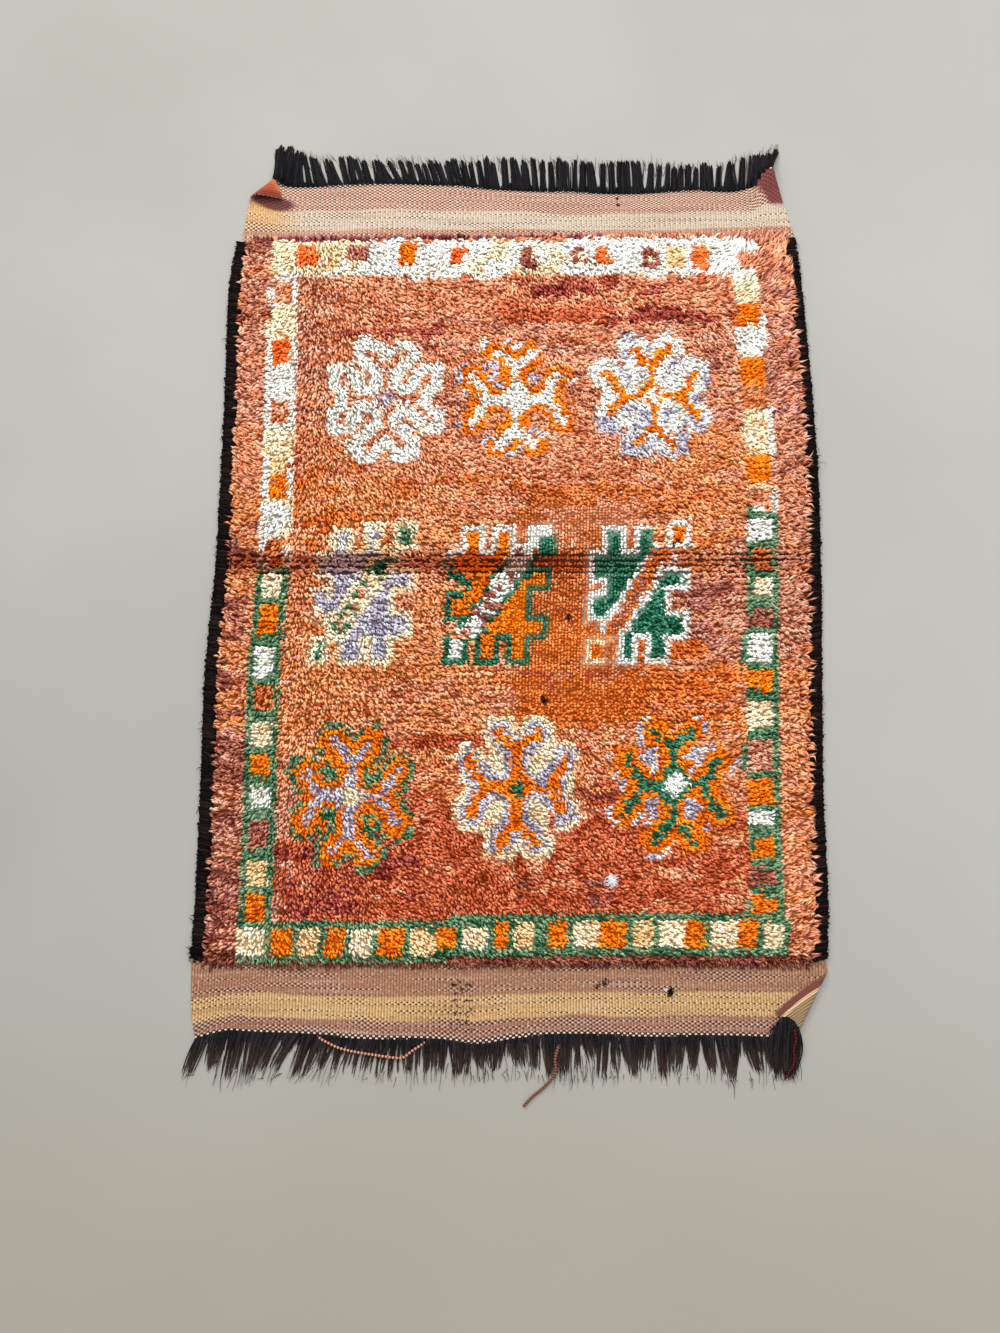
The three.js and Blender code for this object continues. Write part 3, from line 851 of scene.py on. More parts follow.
def grow(name, strand, paths, widths, tints, flat=1.0):
    """Copies of a strand, bent along paths. Each path has one point, half width and tint a level."""
    paths = np.asarray(paths, float)
    count, level = len(paths), strand["level"]
    tangent = unit(np.gradient(paths, axis=1))
    heading = paths[:, -1:] - paths[:, :1]
    plan = unit(tangent * (1, 1, 0) + 0.35 * unit(heading * (1, 1, 0)) + (1e-6, 0, 0))
    side = np.stack([-plan[..., 1], plan[..., 0], np.zeros(plan.shape[:2])], -1)
    side = unit(side - tangent * (side * tangent).sum(-1, keepdims=True))
    normal = np.cross(tangent, side)
    x, y = strand["points"][:, 0], strand["points"][:, 1] * flat
    wide = np.broadcast_to(widths, paths.shape[:2])[:, level]
    places = paths[:, level] + side[:, level] * (x * wide)[..., None]
    places = places + normal[:, level] * (y * wide)[..., None]

    sizes = np.array([len(face) for face in strand["faces"]])
    corners = np.concatenate(strand["faces"])
    starts = np.concatenate([[0], np.cumsum(sizes)[:-1]])
    copies = np.arange(count)[:, None]
    mesh = bpy.data.meshes.new(name)
    mesh.vertices.add(count * len(x))
    mesh.loops.add(count * len(corners))
    mesh.polygons.add(count * len(sizes))
    mesh.vertices.foreach_set("co", to_frame(places.reshape(-1, 3)).astype(np.float32))
    mesh.loops.foreach_set("vertex_index", (corners + copies * len(x)).astype(np.int32).ravel())
    mesh.polygons.foreach_set("loop_start", (starts + copies * len(corners)).astype(np.int32).ravel())
    mesh.polygons.foreach_set("use_smooth", np.ones(count * len(sizes), bool))
    paint(mesh, np.broadcast_to(tints, (*paths.shape[:2], 3))[:, level].reshape(-1, 3))
    mesh.update(calc_edges=True)
    mesh.validate()
    made = bpy.data.objects.new(name, mesh)
    bpy.context.scene.collection.objects.link(made)
    triangles = count * int((sizes - 2).sum())
    print(f"{name}: {count} strands, {triangles} triangles")
    return made


tuft = model_strand("tuft", 3, [0, 0.5, 1])
hair = model_strand("hair", 3, [0, 0.3, 0.6, 0.85, 1])
lock = model_strand("lock", 5, [0, 0.2, 0.4, 0.6, 0.8, 1])
hair_levels, lock_levels = hair["levels"], lock["levels"]

# %% [markdown]
# ## The pile
# Each knot leaves two cut ends of thick wool, and each end splits into its plies, so six strands
# stand for one knot. The pile lies over to one side, so a strand rises from the cloth and
# bends along its heading. Neighbours cling together at the tips, which opens the dark gaps
# between tufts that make a shaggy rug look deep.

# %% Where each strand of pile stands
PLIES = [(-3.1, -2.3), (0, -2.3), (3.1, -2.3), (-3.1, 2.3), (0, 2.3), (3.1, 2.3)]
WORN_COLUMNS, WORN_ROWS = (42, 48, 61, 72), (45, 51, 78, 90)
RIBBED_ROWS = (46, 52, 82, 98)  # where the pile is low enough to show its rows
CREASE_ROW = (58.6, 2.7)
LIE = [(0, 190), (6, 225), (14, 285), (25, 315), (50, 322), (80, 340), (93, 352)]  # column, heading
END_ROW_LIE = (95, 275)  # the first and the last row hang over the flat ends
END_ROW_REACH = (7.5, 10)
END_ROW_HEIGHT = 7.5


def ridge(x, middle, half):
    """1 along a line, falling off steeply on both sides of it."""
    return np.exp(-((x - middle) / half) ** 4)


random = np.random.default_rng(12)
column, row = np.meshgrid(np.arange(KNOTS_ACROSS) + 0.5, np.arange(-1, KNOT_ROWS + 1) + 0.5)
column, row = column.ravel(), row.ravel()
knot_x, knot_y = knot_place(column, row)
knot_y = np.clip(knot_y, FIELD_BOTTOM + 1.5, FIELD_TOP - 1)
side_edge = np.minimum(column, KNOTS_ACROSS - column)
crease = creased(knot_y)
worn = window(column, *WORN_COLUMNS) * window(row, *WORN_ROWS)
ribbed = np.maximum(0.45 * window(row, *RIBBED_ROWS), ridge(row, *CREASE_ROW))
loose = 1 - np.maximum(0.75 * worn, 0.8 * crease)

first_row, end_rows = row < 0, (row < 0) | (row > KNOT_ROWS)
heading = np.interp(column, *zip(*LIE)) + 60 * smooth(column, 74, 88) * (1 - smooth(row, 2, 22))
heading = heading + 26 * drift(column, row, 8, 8, 71) + 22 * drift(column, row, 3.3, 3.3, 72)
end_lie = np.where(first_row, *END_ROW_LIE) + 25 * drift(column, row, 2.5, 2.5, 76)
heading = np.where(end_rows, end_lie, heading)
reach = 10.5 - 1.5 * smooth(row, 40, 60) + 1.5 * drift(column, row, 6, 6, 73)
reach = reach + 3 * (1 - smooth(side_edge, 1, 5))
reach = reach * (1 - 0.72 * worn) * (1 - 0.5 * (1 - smooth(column, 0, 3.5)))
reach = reach + 6 * smooth(column, 70, 80) * (1 - smooth(row, 6, 20))
reach = np.where(end_rows, np.where(first_row, *END_ROW_REACH), reach)


def pile_height(x, y):
    """The height of the pile's tips over the floor, as the solid has it."""
    left, right = field_edges(y, GAP)
    inset = np.minimum(np.minimum(x - left, right - x), np.minimum(y - FIELD_BOTTOM, FIELD_TOP - y))
    waves = 0.4 * (np.cos(2 * np.pi * x / 310) + np.cos(2 * np.pi * y / 270))
    share = smooth(inset, 0, SHOULDER_RUN)
    return SHOULDER * (1 - share) + (PILE + waves - CREASE_DEPTH * creased(y)) * share


height = pile_height(knot_x, knot_y) + 0.9 * drift(column, row, 2.2, 2.2, 74)
height = height - 3 * worn + 3 * (1 - smooth(side_edge, 0, 2.5))
height = np.where(end_rows, END_ROW_HEIGHT, height)
print("knots:", len(column), "pile", round(height.min(), 1), "to", round(height.max(), 1), "mm high")

# %% The yarn of each strand
# The pattern is seen at the tips, so each knot takes the yarn of the place that its tips lean to
KNOT_PITCH = 9.34
TO_TIP = 0.7
lean_c = reach * TO_TIP * np.cos(np.radians(heading)) / KNOT_PITCH
lean_r = -reach * TO_TIP * np.sin(np.radians(heading)) / ROW_PITCH
yarns = knot_yarns(column + lean_c, row + lean_r)


def shade_yarn(numbers, tone):
    """The colour of a yarn: its main one at tone 0, its light one at 1 and its dark one at -1."""
    main, light, dark = (yarn_tints[numbers, k] for k in range(3))
    tone = np.clip(tone, -1.3, 1.3)[..., None]
    return np.where(tone > 0, main + (light - main) * tone, main - (main - dark) * -tone).clip(0, 1)


print("yarn counts:", {name: int((yarns == i).sum()) for i, name in enumerate(YARNS)})

# %% Bend and clump the strands
STUB_X = 2.35
CLUMP = 17.0  # from one clump to the next
OUT = np.array([0, 0.48, 1])  # how far each level of a strand has come along its heading
UP = np.array([0, 0.94, 0.9])  # and how high it stands
PILE_WIDTHS = np.array([2.6, 2.1, 0])
# Painted shade in the crease: the row where it is darkest and its half width
CREASE_SHADE_ROW = (58.3, 1.9)
CREASE_SHADE_LOSS = np.array([0.48, 0.72, 0.78])  # what the crease takes off red, green and blue
strands = len(column) * len(PLIES)
each = np.repeat(np.arange(len(column)), len(PLIES))
ply_x, ply_y = np.tile(PLIES, (len(column), 1)).T
angle = np.radians(heading[each] + 4 * ply_x + random.normal(0, 15, strands))
sideways = np.where(random.random(strands) < 0.5, 180.0, 0.0) + random.normal(0, 10, strands)
folded = random.random(strands) < 0.85 * np.maximum(crease, ribbed - 0.3)[each]
angle = np.where(folded, np.radians(sideways), angle)
far = reach[each] * random.normal(1, 0.15, strands).clip(0.5, 1.5)
# Where the pile is worn, each knot shows as its two stubs
stub_x = np.where(ply_x + random.normal(0, 1, strands) < 0, -STUB_X, STUB_X)
stray_x = random.normal(0, 0.8, strands) * (1 - 0.6 * worn[each])
base_x = knot_x[each] + ply_x + (stub_x - ply_x) * worn[each] + stray_x
stray_y = (ply_y + random.normal(0, 1.3, strands)) * (1 - 0.62 * ribbed[each])
base_y = knot_y[each] + stray_y * (1 + 0.3 * worn[each])
tip_x = base_x + far * np.cos(angle)
tip_y = base_y + far * np.sin(angle)

# Every tip moves some of the way to the middle of its clump, on a shaken lattice of clumps
cell_i, cell_j = np.floor(tip_x / CLUMP), np.floor(tip_y / CLUMP)
best = np.full(strands, 1e9)
clump_x, clump_y = tip_x.copy(), tip_y.copy()
for di in (-1, 0, 1):
    for dj in (-1, 0, 1):
        i, j = cell_i + di, cell_j + dj
        shaken_x = (i + 0.5 + 0.42 * np.sin(12.9898 * i + 78.233 * j)) * CLUMP
        shaken_y = (j + 0.5 + 0.42 * np.sin(39.346 * i + 11.135 * j)) * CLUMP
        off = np.hypot(tip_x - shaken_x, tip_y - shaken_y)
        nearer = off < best
        best = np.where(nearer, off, best)
        clump_x, clump_y = np.where(nearer, shaken_x, clump_x), np.where(nearer, shaken_y, clump_y)
cling = (0.13 + 0.37 * (1 - smooth(side_edge[each], 1, 5))) * loose[each]
tip_x += cling * (clump_x - tip_x)
tip_y += cling * (clump_y - tip_y)

curl = random.normal(0, 0.15, strands)
across_x, across_y = -(tip_y - base_y), tip_x - base_x
swing = curl[:, None] * np.array([0, 1, 0])
tall = (height[each] + random.normal(0, 0.9, strands)).clip(4.5, 17)
root = WEAVE - 0.6  # a little under the cloth's face
pile_paths = np.stack([
    base_x[:, None] + (tip_x - base_x)[:, None] * OUT + across_x[:, None] * swing,
    base_y[:, None] + (tip_y - base_y)[:, None] * OUT + across_y[:, None] * swing,
    root + (tall - root)[:, None] * UP,
], -1)
pile_widths = PILE_WIDTHS * random.normal(1, 0.12, strands).clip(0.7, 1.4)[:, None]

knot_tone = 0.45 * drift(column, row, 3.5, 1.2, 75) + random.normal(0, 0.3, len(column))
tone = knot_tone[each] + random.normal(0, 0.5, strands)


def crease_shade(tints, c, r):
    """Paints shade on the yarns: a red brown where the rug was folded, and a little on the last rows."""
    depth = ridge(r, *CREASE_SHADE_ROW) * (1 - 0.55 * smooth(c, 50, 66))
    last = 0.3 * smooth(r, 119.8, 120.8)
    return tints * (1 - depth[:, None] * CREASE_SHADE_LOSS) * (1 - last[:, None])


# Painted shade and highlight: each strand is darker at its root and lighter at its tip
strand_tint = crease_shade(shade_yarn(yarns[each], tone), column[each], row[each])
tip_highlight_tint = crease_shade(shade_yarn(yarns[each], tone + 0.5), column[each], row[each])
pile_tints = np.stack([strand_tint * 0.85, strand_tint, tip_highlight_tint], 1)
print(strands, "strands of pile")

# %% A bed of wool under the strands
BED_SHARE = 0.57  # of the pile's height
BED_THICK = 3.0
bed, part_across, part_along = add_grid("pile_bed", KNOTS_ACROSS, KNOT_ROWS)
bed_c, bed_r = part_across * KNOTS_ACROSS, (1 - part_along) * KNOT_ROWS
bed_x, bed_y = knot_place(bed_c, bed_r)
bed_y = np.clip(bed_y, FIELD_BOTTOM + 1, FIELD_TOP - 1)
bed_z = BED_SHARE * pile_height(bed_x, bed_y) + 0.8 * drift(bed_c, bed_r, 1.3, 1.3, 77)
bed.data.vertices.foreach_set("co", to_frame(np.stack([bed_x, bed_y, bed_z], -1)))
# Painted shade: the bed takes the yarns' darker shade at half brightness, darker still in the ribbed rows and
# the crease, as deep in the pile where little light reaches
bed_tint = shade_yarn(knot_yarns(bed_c, bed_r), -0.5 + 0.4 * drift(bed_c, bed_r, 1.1, 1.1, 78))
bed_ribbed = ridge(bed_r, *CREASE_ROW) + 0.3 * window(bed_r, *RIBBED_ROWS)
bed_shade = 0.5 - 0.36 * bed_ribbed.clip(0, 1)
paint(bed.data, crease_shade(bed_tint, bed_c, bed_r) * bed_shade[:, None])
thicken(bed, BED_THICK, -1)
bpy.ops.object.shade_smooth()
print("bed:", len(bed.data.polygons), "faces")

# %% Grow the pile in four bands of rows
BANDS = {"pile_top": (-1, 30), "pile_upper": (30, 60), "pile_lower": (60, 90), "pile_bottom": (90, 122)}
pile = {"bed": bed}
for name, (top, bottom) in BANDS.items():
    here = (row[each] > top) & (row[each] < bottom)
    pile[name] = grow(name, tuft, pile_paths[here], pile_widths[here], pile_tints[here])

# %% Bits caught in the rug
BITS = {
    # name: (place across, place along, height, size, tint, strands)
    "pale_fluff": [
        (132, -469, 15, 8.5, (236, 234, 236), 90), (131, -463, 16, 4.5, (250, 250, 250), 40),
        (205, -616, 4, 2.6, (236, 226, 214), 16),
    ],
    "dark_bits": [
        (40, -206, 12, 4.5, (32, 22, 26), 26), (38, -201, 12, 3.5, (32, 22, 26), 18),
        (76, -77, 12, 4.5, (48, 26, 22), 22), (211, -620, 3.4, 6, (24, 18, 18), 44),
        (110, -611, 3.2, 5, (44, 24, 24), 22), (121, -606, 3.4, 4.5, (44, 24, 24), 18),
        (-90, -610, 3.2, 3, (40, 28, 24), 12), (248, -615, 3.2, 2.6, (50, 26, 24), 10),
        (236, 36, 15, 4, (20, 12, 14), 10), (243, 43, 15, 4, (20, 12, 14), 10),
        (164, 641, 3, 3, (64, 22, 28), 14), (165, 629, 3, 3, (64, 22, 28), 14),
        (-450, -566, 9, 9, (16, 11, 11), 110), (55, 240, 13, 3.2, (60, 36, 26), 12),
    ],
}
FLATTER = (1, 1, 0.3)  # bits lie down
bits = []
for name, rows in BITS.items():
    draw = np.random.default_rng(81)
    bit_paths, bit_tints = [], []
    for x, y, z, size, shade, count in rows:
        start = draw.normal(0, 0.38, (count, 3)) * size
        way = unit(draw.normal(0, 1, (count, 3)) * FLATTER) * size * draw.uniform(0.7, 1.6, (count, 1))
        levels = hair_levels[None, :, None]
        sag = np.sin(np.pi * levels) * draw.normal(0, 0.25, (count, 1, 3)) * size
        tangle = np.array([x, y, z]) + start[:, None] * FLATTER + way[:, None] * (levels - 0.5)
        tangle = tangle + sag * FLATTER
        tangle[..., 2] = np.maximum(tangle[..., 2], 0.6)
        bit_paths.append(tangle)
        bit_tints.append(np.broadcast_to(tint(*shade), (count, 1, 3)) * draw.uniform(0.7, 1.1, (count, 1, 1)))
    bit_widths = np.array([0.5, 0.6, 0.6, 0.5, 0])
    bits.append(grow(name, hair, np.concatenate(bit_paths), bit_widths, np.concatenate(bit_tints)))

# %% [markdown]
# ## The goat-hair selvedges
# Black goat hair is wrapped round the outer warps so that the long sides wear well. A plain tube
# would look like plastic. So the band is made as it is on the rug: one wrap beside the other
# over a core, with loose hairs standing off it.

# %% Wrap the selvedges
WRAP_PITCH = 3.6  # from one wrap to the next
WRAP_HALF = 9.4  # half the width of the band
WRAP_TURN = np.radians([200, 160, 125, 90, 55, 20, -20])  # round the core, from side to side
CORE_LEVELS = 41
LOOSE_HAIRS = 700  # on each side
wrap = model_strand("wrap", 4, [0, 0.17, 0.34, 0.5, 0.66, 0.83, 1])
core = model_strand("core", 8, list(np.linspace(0, 1, CORE_LEVELS)))
GOAT_BLACKS = tint(11, 7, 7), tint(48, 34, 29)
WARP_BLACKS = tint(13, 12, 15), tint(50, 47, 50)
WARP_TIPS = tint(84, 62, 52)


def black(count, seed, lighter=0.35, blacks=GOAT_BLACKS):
    """A tint for each of count strands: most are black, and some of them lighter."""
    draw = np.random.default_rng(seed)
    mixed = draw.random(count)[:, None] ** 2 * lighter * 2
    return blacks[0] * (1 - mixed) + blacks[1] * mixed


def band_middle(outward, y):
    """The middle line of a selvedge: outward is -1 on the left and 1 on the right."""
    return follow(FIELD, 1 if outward < 0 else 2, y) - outward * SELVEDGE_WIDTH / 2


selvedges = {}
for side, outward, seed in (("left", -1, 5), ("right", 1, 6)):
    draw = np.random.default_rng(seed)
    y = np.arange(FIELD_BOTTOM + 3.5, FIELD_TOP - 3, WRAP_PITCH)
    count, turns = len(y), len(WRAP_TURN)
    middle = band_middle(outward, y)[:, None]
    slant = np.linspace(-2.5, 2.5, turns)
    bulge = draw.normal(1, 0.05, count)[:, None]
    wrap_paths = np.stack([
        middle + outward * WRAP_HALF * np.cos(WRAP_TURN) * bulge + draw.normal(0, 0.6, count)[:, None],
        y[:, None] + slant + draw.normal(0, 0.8, (count, turns)),
        4.2 + 3.7 * np.sin(WRAP_TURN) * bulge,
    ], -1)
    wrap_widths = np.array([1.8, 2.3, 2.4, 2.4, 2.4, 2.2, 0]) * draw.normal(1, 0.12, count)[:, None]
    tints = black(count, seed + 10)[:, None]
    band = grow(f"selvedge_{side}_wraps", wrap, wrap_paths, wrap_widths, tints)

    core_y = np.linspace(FIELD_BOTTOM + 2, FIELD_TOP - 2, CORE_LEVELS)
    core_path = np.stack([band_middle(outward, core_y), core_y, np.full(CORE_LEVELS, 4.4)], -1)[None]
    core_widths = np.full((1, CORE_LEVELS), 9.6)
    core_widths[0, :2] = 6, 8.6
    core_widths[0, -2:] = 7, 4
    middle_part = grow(f"selvedge_{side}_core", core, core_path, core_widths, GOAT_BLACKS[0] * 0.8, flat=0.36)

    hair_y = draw.uniform(FIELD_BOTTOM + 2, FIELD_TOP - 2, LOOSE_HAIRS)
    out_way = np.where(draw.random(LOOSE_HAIRS) < 0.66, outward, -outward)
    start = draw.uniform(0.1, 0.95, LOOSE_HAIRS) * 9.5
    far = draw.gamma(2.0, 2.0, LOOSE_HAIRS).clip(1.5, 20)
    way = draw.normal(0, 0.75, LOOSE_HAIRS)
    hair_x = (band_middle(outward, hair_y) + out_way * start)[:, None]
    bow = draw.normal(0, 1.6, (LOOSE_HAIRS, 1)) * hair_levels ** 2
    rise = 8.2 - 0.03 * start[:, None] ** 2 + 3.6 * np.sin(np.pi * hair_levels)
    hair_paths = np.stack([
        hair_x + (out_way * far * np.cos(way))[:, None] * hair_levels,
        hair_y[:, None] + (far * np.sin(way))[:, None] * hair_levels + bow,
        np.maximum(rise - hair_levels ** 2 * far[:, None] * 0.5, 0.5),
    ], -1)
    hair_widths = np.array([0.75, 0.6, 0.45, 0.3, 0]) * draw.uniform(0.6, 1.2, LOOSE_HAIRS)[:, None]
    hair_tints = black(LOOSE_HAIRS, seed + 20)[:, None]
    loose_hairs = grow(f"selvedge_{side}_hairs", hair, hair_paths, hair_widths, hair_tints)
    selvedges[side] = (band, middle_part, loose_hairs)

# %% [markdown]
# ## The fringes
# The warps are black wool and goat hair. At the upper end they were cut short and stand apart in
# blunt bunches. At the lower end they are longer, felted into wispy locks that lean and cross.
# A lock is drawn as a few strands that start side by side and meet at the tip.

# %% Grow the upper fringe
ROOT_DEPTH = 2  # how far into the weave the strands start
BUNCH_PITCH = 12.4
BUNCH_STRANDS = 11
ROOT_SPREAD, TIP_SPREAD = 5.2, 3.5  # half the width of a bunch
BLUNT = np.array([0, 0.25, 0.5, 0.75, 0.93, 1])  # where the levels of a cut strand lie
GATHER = np.array([1, 0.86, 0.84, 0.9, 0.96, 1])  # a bunch draws together below the weave
FANS = [
    # bunches at the rolled corner, then at the lifted one: root, tip, height of the root
    ((-394, 679), (-397, 744), 10), ((-391, 680), (-391, 751), 11), ((-387, 679), (-385, 741), 10),
    ((-383, 676), (-379, 748), 8), ((-378, 673), (-373, 751), 6), ((-373, 671), (-368, 736), 4),
    ((-367, 670), (-363, 742), 3), ((-361, 669), (-355, 740), 3),
    ((385, 659), (391, 723), 3), ((390, 668), (398, 724), 3), ((396, 677), (405, 722), 3),
    ((403, 682), (414, 726), 3), ((410, 685), (428, 734), 3), ((406, 684), (419, 717), 3),
]


def comb_paths(x0, y0, x1, y1, seed, rise, wander, part=lock_levels):
    """Paths over the floor from roots to tips."""
    draw = np.random.default_rng(seed)
    count = len(x0)
    bow = draw.normal(0, wander, (count, 1)) * np.sin(np.pi * part)
    x = x0[:, None] + (x1 - x0)[:, None] * part + bow
    y = y0[:, None] + (y1 - y0)[:, None] * part
    z = 1.1 + (np.array(rise)[..., None] - 0.8) * (1 - part) ** 1.3 * np.ones((count, 1))
    z = z + draw.uniform(0, 1.3, (count, 1)) * np.sin(np.pi * part)
    return np.stack([x, y, z + lifted(x, y)], -1)


def root_stubs(draw, root_x, outward, tips, lean, length, seed, rise):
    """Short strands side by side, which close the fringe where it leaves the weave."""
    root_y = follow(ROOTS, 2 if outward > 0 else 1, root_x)
    tip_x = root_x + follow(tips, 2, root_x) * lean + draw.normal(0, 1, len(root_x))
    tip_y = root_y + outward * draw.uniform(*length, len(root_x))
    return comb_paths(root_x, root_y - outward * ROOT_DEPTH, tip_x, tip_y, seed, rise, 0.4)


draw = np.random.default_rng(31)
upper_x = np.arange(-352, 384, BUNCH_PITCH)
upper_x = upper_x + draw.normal(0, 1.6, len(upper_x))
fan_root, fan_tip = (np.array([fan[k] for fan in FANS], float) for k in (0, 1))
bunch_x = np.concatenate([upper_x, fan_root[:, 0]])
bunch_y = np.concatenate([follow(ROOTS, 2, upper_x), fan_root[:, 1]])
bunch_rise = np.concatenate([np.full(len(upper_x), 2.6), [fan[2] for fan in FANS]])
upper_lean = follow(UPPER_TIPS, 2, upper_x) + draw.normal(0, 3.4, len(upper_x))
bunch_tip_x = np.concatenate([upper_x + upper_lean, fan_tip[:, 0]])
ragged = draw.normal(0, 3.2, len(upper_x))
bunch_tip_y = np.concatenate([follow(UPPER_TIPS, 1, upper_x) - 2 + ragged, fan_tip[:, 1]])
again = np.repeat(np.arange(len(bunch_x)), BUNCH_STRANDS)
spread = np.tile(np.linspace(-1, 1, BUNCH_STRANDS), len(bunch_x)) + draw.normal(0, 0.16, len(again))
tight = draw.normal(1, 0.16, len(bunch_x))[again]
shorter = np.abs(draw.normal(0, 3.2, len(again))) + 3 * spread ** 2
strand_tip_x = bunch_tip_x[again] + TIP_SPREAD * tight * spread + draw.normal(0, 0.9, len(again))
paths = comb_paths(
    bunch_x[again] + ROOT_SPREAD * spread, bunch_y[again] - ROOT_DEPTH,
    strand_tip_x, bunch_tip_y[again] - shorter, 32, bunch_rise[again], 0.8, BLUNT,
)
centre_x = bunch_x[again][:, None] + (bunch_tip_x - bunch_x)[again][:, None] * BLUNT
paths[..., 0] = centre_x + (paths[..., 0] - centre_x) * GATHER
stub_x = np.concatenate([np.arange(-356, 386, 2.6), np.linspace(386, 412, 12)])
paths = np.concatenate([paths, root_stubs(draw, stub_x, 1, UPPER_TIPS, 0.2, (7, 17), 34, 2.2)])
widths = np.array([1.5, 1.35, 1.25, 1.15, 0.95, 0]) * draw.normal(1, 0.13, len(paths))[:, None]
# Painted highlight: the upper fringe's black strands grow lighter towards their tips
upper_tints = black(len(paths), 33, 0.25, WARP_BLACKS)[:, None] * (1 + 0.5 * lock_levels ** 3)[None, :, None]
fringe_top = grow("fringe_top_strands", lock, paths, widths, upper_tints)

# %% Grow the lower fringe
LOWER_FROM, LOWER_TO = -443.0, 372
SPARSE = (-262, -140)  # where single thin locks stand apart
LOCK_STRANDS = 4
LOCK_WIDTHS = np.array([1.35, 1.25, 1.1, 0.9, 0.6, 0])


def warp_tints(count, seed, brownest=0.75):
    """Black at the roots, and browner towards the tips."""
    brown = (brownest * lock_levels ** 2.2)[None, :, None]
    return black(count, seed, 0.4, WARP_BLACKS)[:, None] * (1 - brown) + WARP_TIPS * brown


draw = np.random.default_rng(41)
lock_rows = []  # one row for each lock: where its root is across the rug, then its tip's place
place = LOWER_FROM
while place < LOWER_TO:
    sparse = SPARSE[0] < place < SPARSE[1]
    group = 1 if sparse else int(draw.integers(2, 7))
    pitch = 5.6 if sparse else 4.1
    centre = place + group * pitch / 2
    lean = follow(LOWER_TIPS, 2, [centre])[0] + draw.normal(0, 2.5 if sparse else 4.5)
    tip = follow(LOWER_TIPS, 1, [centre])[0] + abs(draw.normal(0, 8))
    for k in range(group):
        off = place + k * pitch - centre
        lock_tip_y = tip + abs(draw.normal(0, 3)) + 0.3 * abs(off)
        lock_tip_x = centre + lean + off * draw.uniform(0.4, 0.85)
        lock_rows.append((place + k * pitch, lock_tip_x, lock_tip_y))
    place += group * pitch + (0 if sparse else draw.uniform(0, 2.5))
lock_x, lock_tip_x, lock_tip_y = np.array(lock_rows).T
again = np.repeat(np.arange(len(lock_x)), LOCK_STRANDS)
spread = np.tile(np.linspace(-1, 1, LOCK_STRANDS), len(lock_x)) + draw.normal(0, 0.2, len(again))
spread = spread * np.where((lock_x > SPARSE[0]) & (lock_x < SPARSE[1]), 0.5, 1)[again]
strand_tip_x = lock_tip_x[again] + 1.8 * spread + draw.normal(0, 1.1, len(again))
strand_tip_y = lock_tip_y[again] + np.abs(draw.normal(0, 7, len(again)))
root_y = follow(ROOTS, 1, lock_x)[again] + ROOT_DEPTH
paths = comb_paths(lock_x[again] + 1.6 * spread, root_y, strand_tip_x, strand_tip_y, 42, 2.4, 1.8)
stub_x = np.arange(LOWER_FROM, LOWER_TO + 2, 2.6)
paths = np.concatenate([paths, root_stubs(draw, stub_x, -1, LOWER_TIPS, 0.3, (12, 28), 44, 2)])
widths = LOCK_WIDTHS * draw.normal(1, 0.18, len(paths)).clip(0.5, 1.5)[:, None]
fringe_bottom = grow("fringe_bottom_strands", lock, paths, widths, warp_tints(len(paths), 43))

# %% The doubled fringe of the folded corner
FLAP_ROOT = [(350, -668), (356, -658), (362, -652), (369, -652), (376, -657), (382, -666)]
FLAP_TIP = [(346, -712), (350, -733), (357, -741), (365, -740), (371, -738), (376, -732)]
FLAP_WIDTHS = np.array([1.4, 1.3, 1.1, 0.9, 0.6, 0])
FLAP_STRANDS = 26  # from each place to the next
draw = np.random.default_rng(51)
again = np.repeat(np.arange(len(FLAP_ROOT)), FLAP_STRANDS)
other = np.minimum(again + 1, len(FLAP_ROOT) - 1)
share = draw.uniform(0, 1, len(again))[:, None]
root, tip = (np.array(line, float) for line in (FLAP_ROOT, FLAP_TIP))
root = root[again] * (1 - share) + root[other] * share
tip = tip[again] * (1 - share) + tip[other] * share
tip_x = tip[:, 0] + draw.normal(0, 3, len(again))
tip_y = tip[:, 1] + np.abs(draw.normal(0, 12, len(again)))
rise = draw.uniform(13, 16, len(again))
paths = comb_paths(root[:, 0], root[:, 1], tip_x, tip_y, 52, rise, 3.5)
widths = FLAP_WIDTHS * draw.normal(1, 0.18, len(again)).clip(0.5, 1.5)[:, None]
fringe_flap = grow("fringe_flap_strands", lock, paths, widths, warp_tints(len(again), 53, 0.3))

# %% Fine hairs at the tips of both fringes
FINE_HAIRS = 500
FINE_UPPER = 300
draw = np.random.default_rng(61)
upper = np.arange(FINE_HAIRS) < FINE_UPPER
x = draw.uniform(-395, 415, FINE_HAIRS)
x = np.where(upper, x, draw.uniform(-445, 380, FINE_HAIRS))
tip_y, lean = (np.where(upper, follow(UPPER_TIPS, k, x), follow(LOWER_TIPS, k, x)) for k in (1, 2))
outward = np.where(upper, 1.0, -1.0)
start_y = tip_y - outward * draw.uniform(8, 45, FINE_HAIRS)
end_y = tip_y + outward * draw.normal(-1, 4.5, FINE_HAIRS)
start_x = x + lean * 0.5
end_x = x + lean + draw.normal(0, 2.8, FINE_HAIRS)
bow = draw.normal(0, 1.5, (FINE_HAIRS, 1)) * np.sin(np.pi * hair_levels)
hair_x = start_x[:, None] + (end_x - start_x)[:, None] * hair_levels + bow
hair_y = start_y[:, None] + (end_y - start_y)[:, None] * hair_levels
hair_z = 0.8 + draw.uniform(0.5, 5, (FINE_HAIRS, 1)) * np.sin(np.pi * hair_levels * 0.9)
hair_paths = np.stack([hair_x, hair_y, hair_z + lifted(hair_x, hair_y)], -1)
hair_widths = np.array([0.5, 0.42, 0.34, 0.24, 0]) * draw.uniform(0.6, 1.1, FINE_HAIRS)[:, None]
hair_tints = black(FINE_HAIRS, 62, 0.6, WARP_BLACKS)[:, None]
fine_hairs = grow("fringe_fine_hairs", hair, hair_paths, hair_widths, hair_tints)
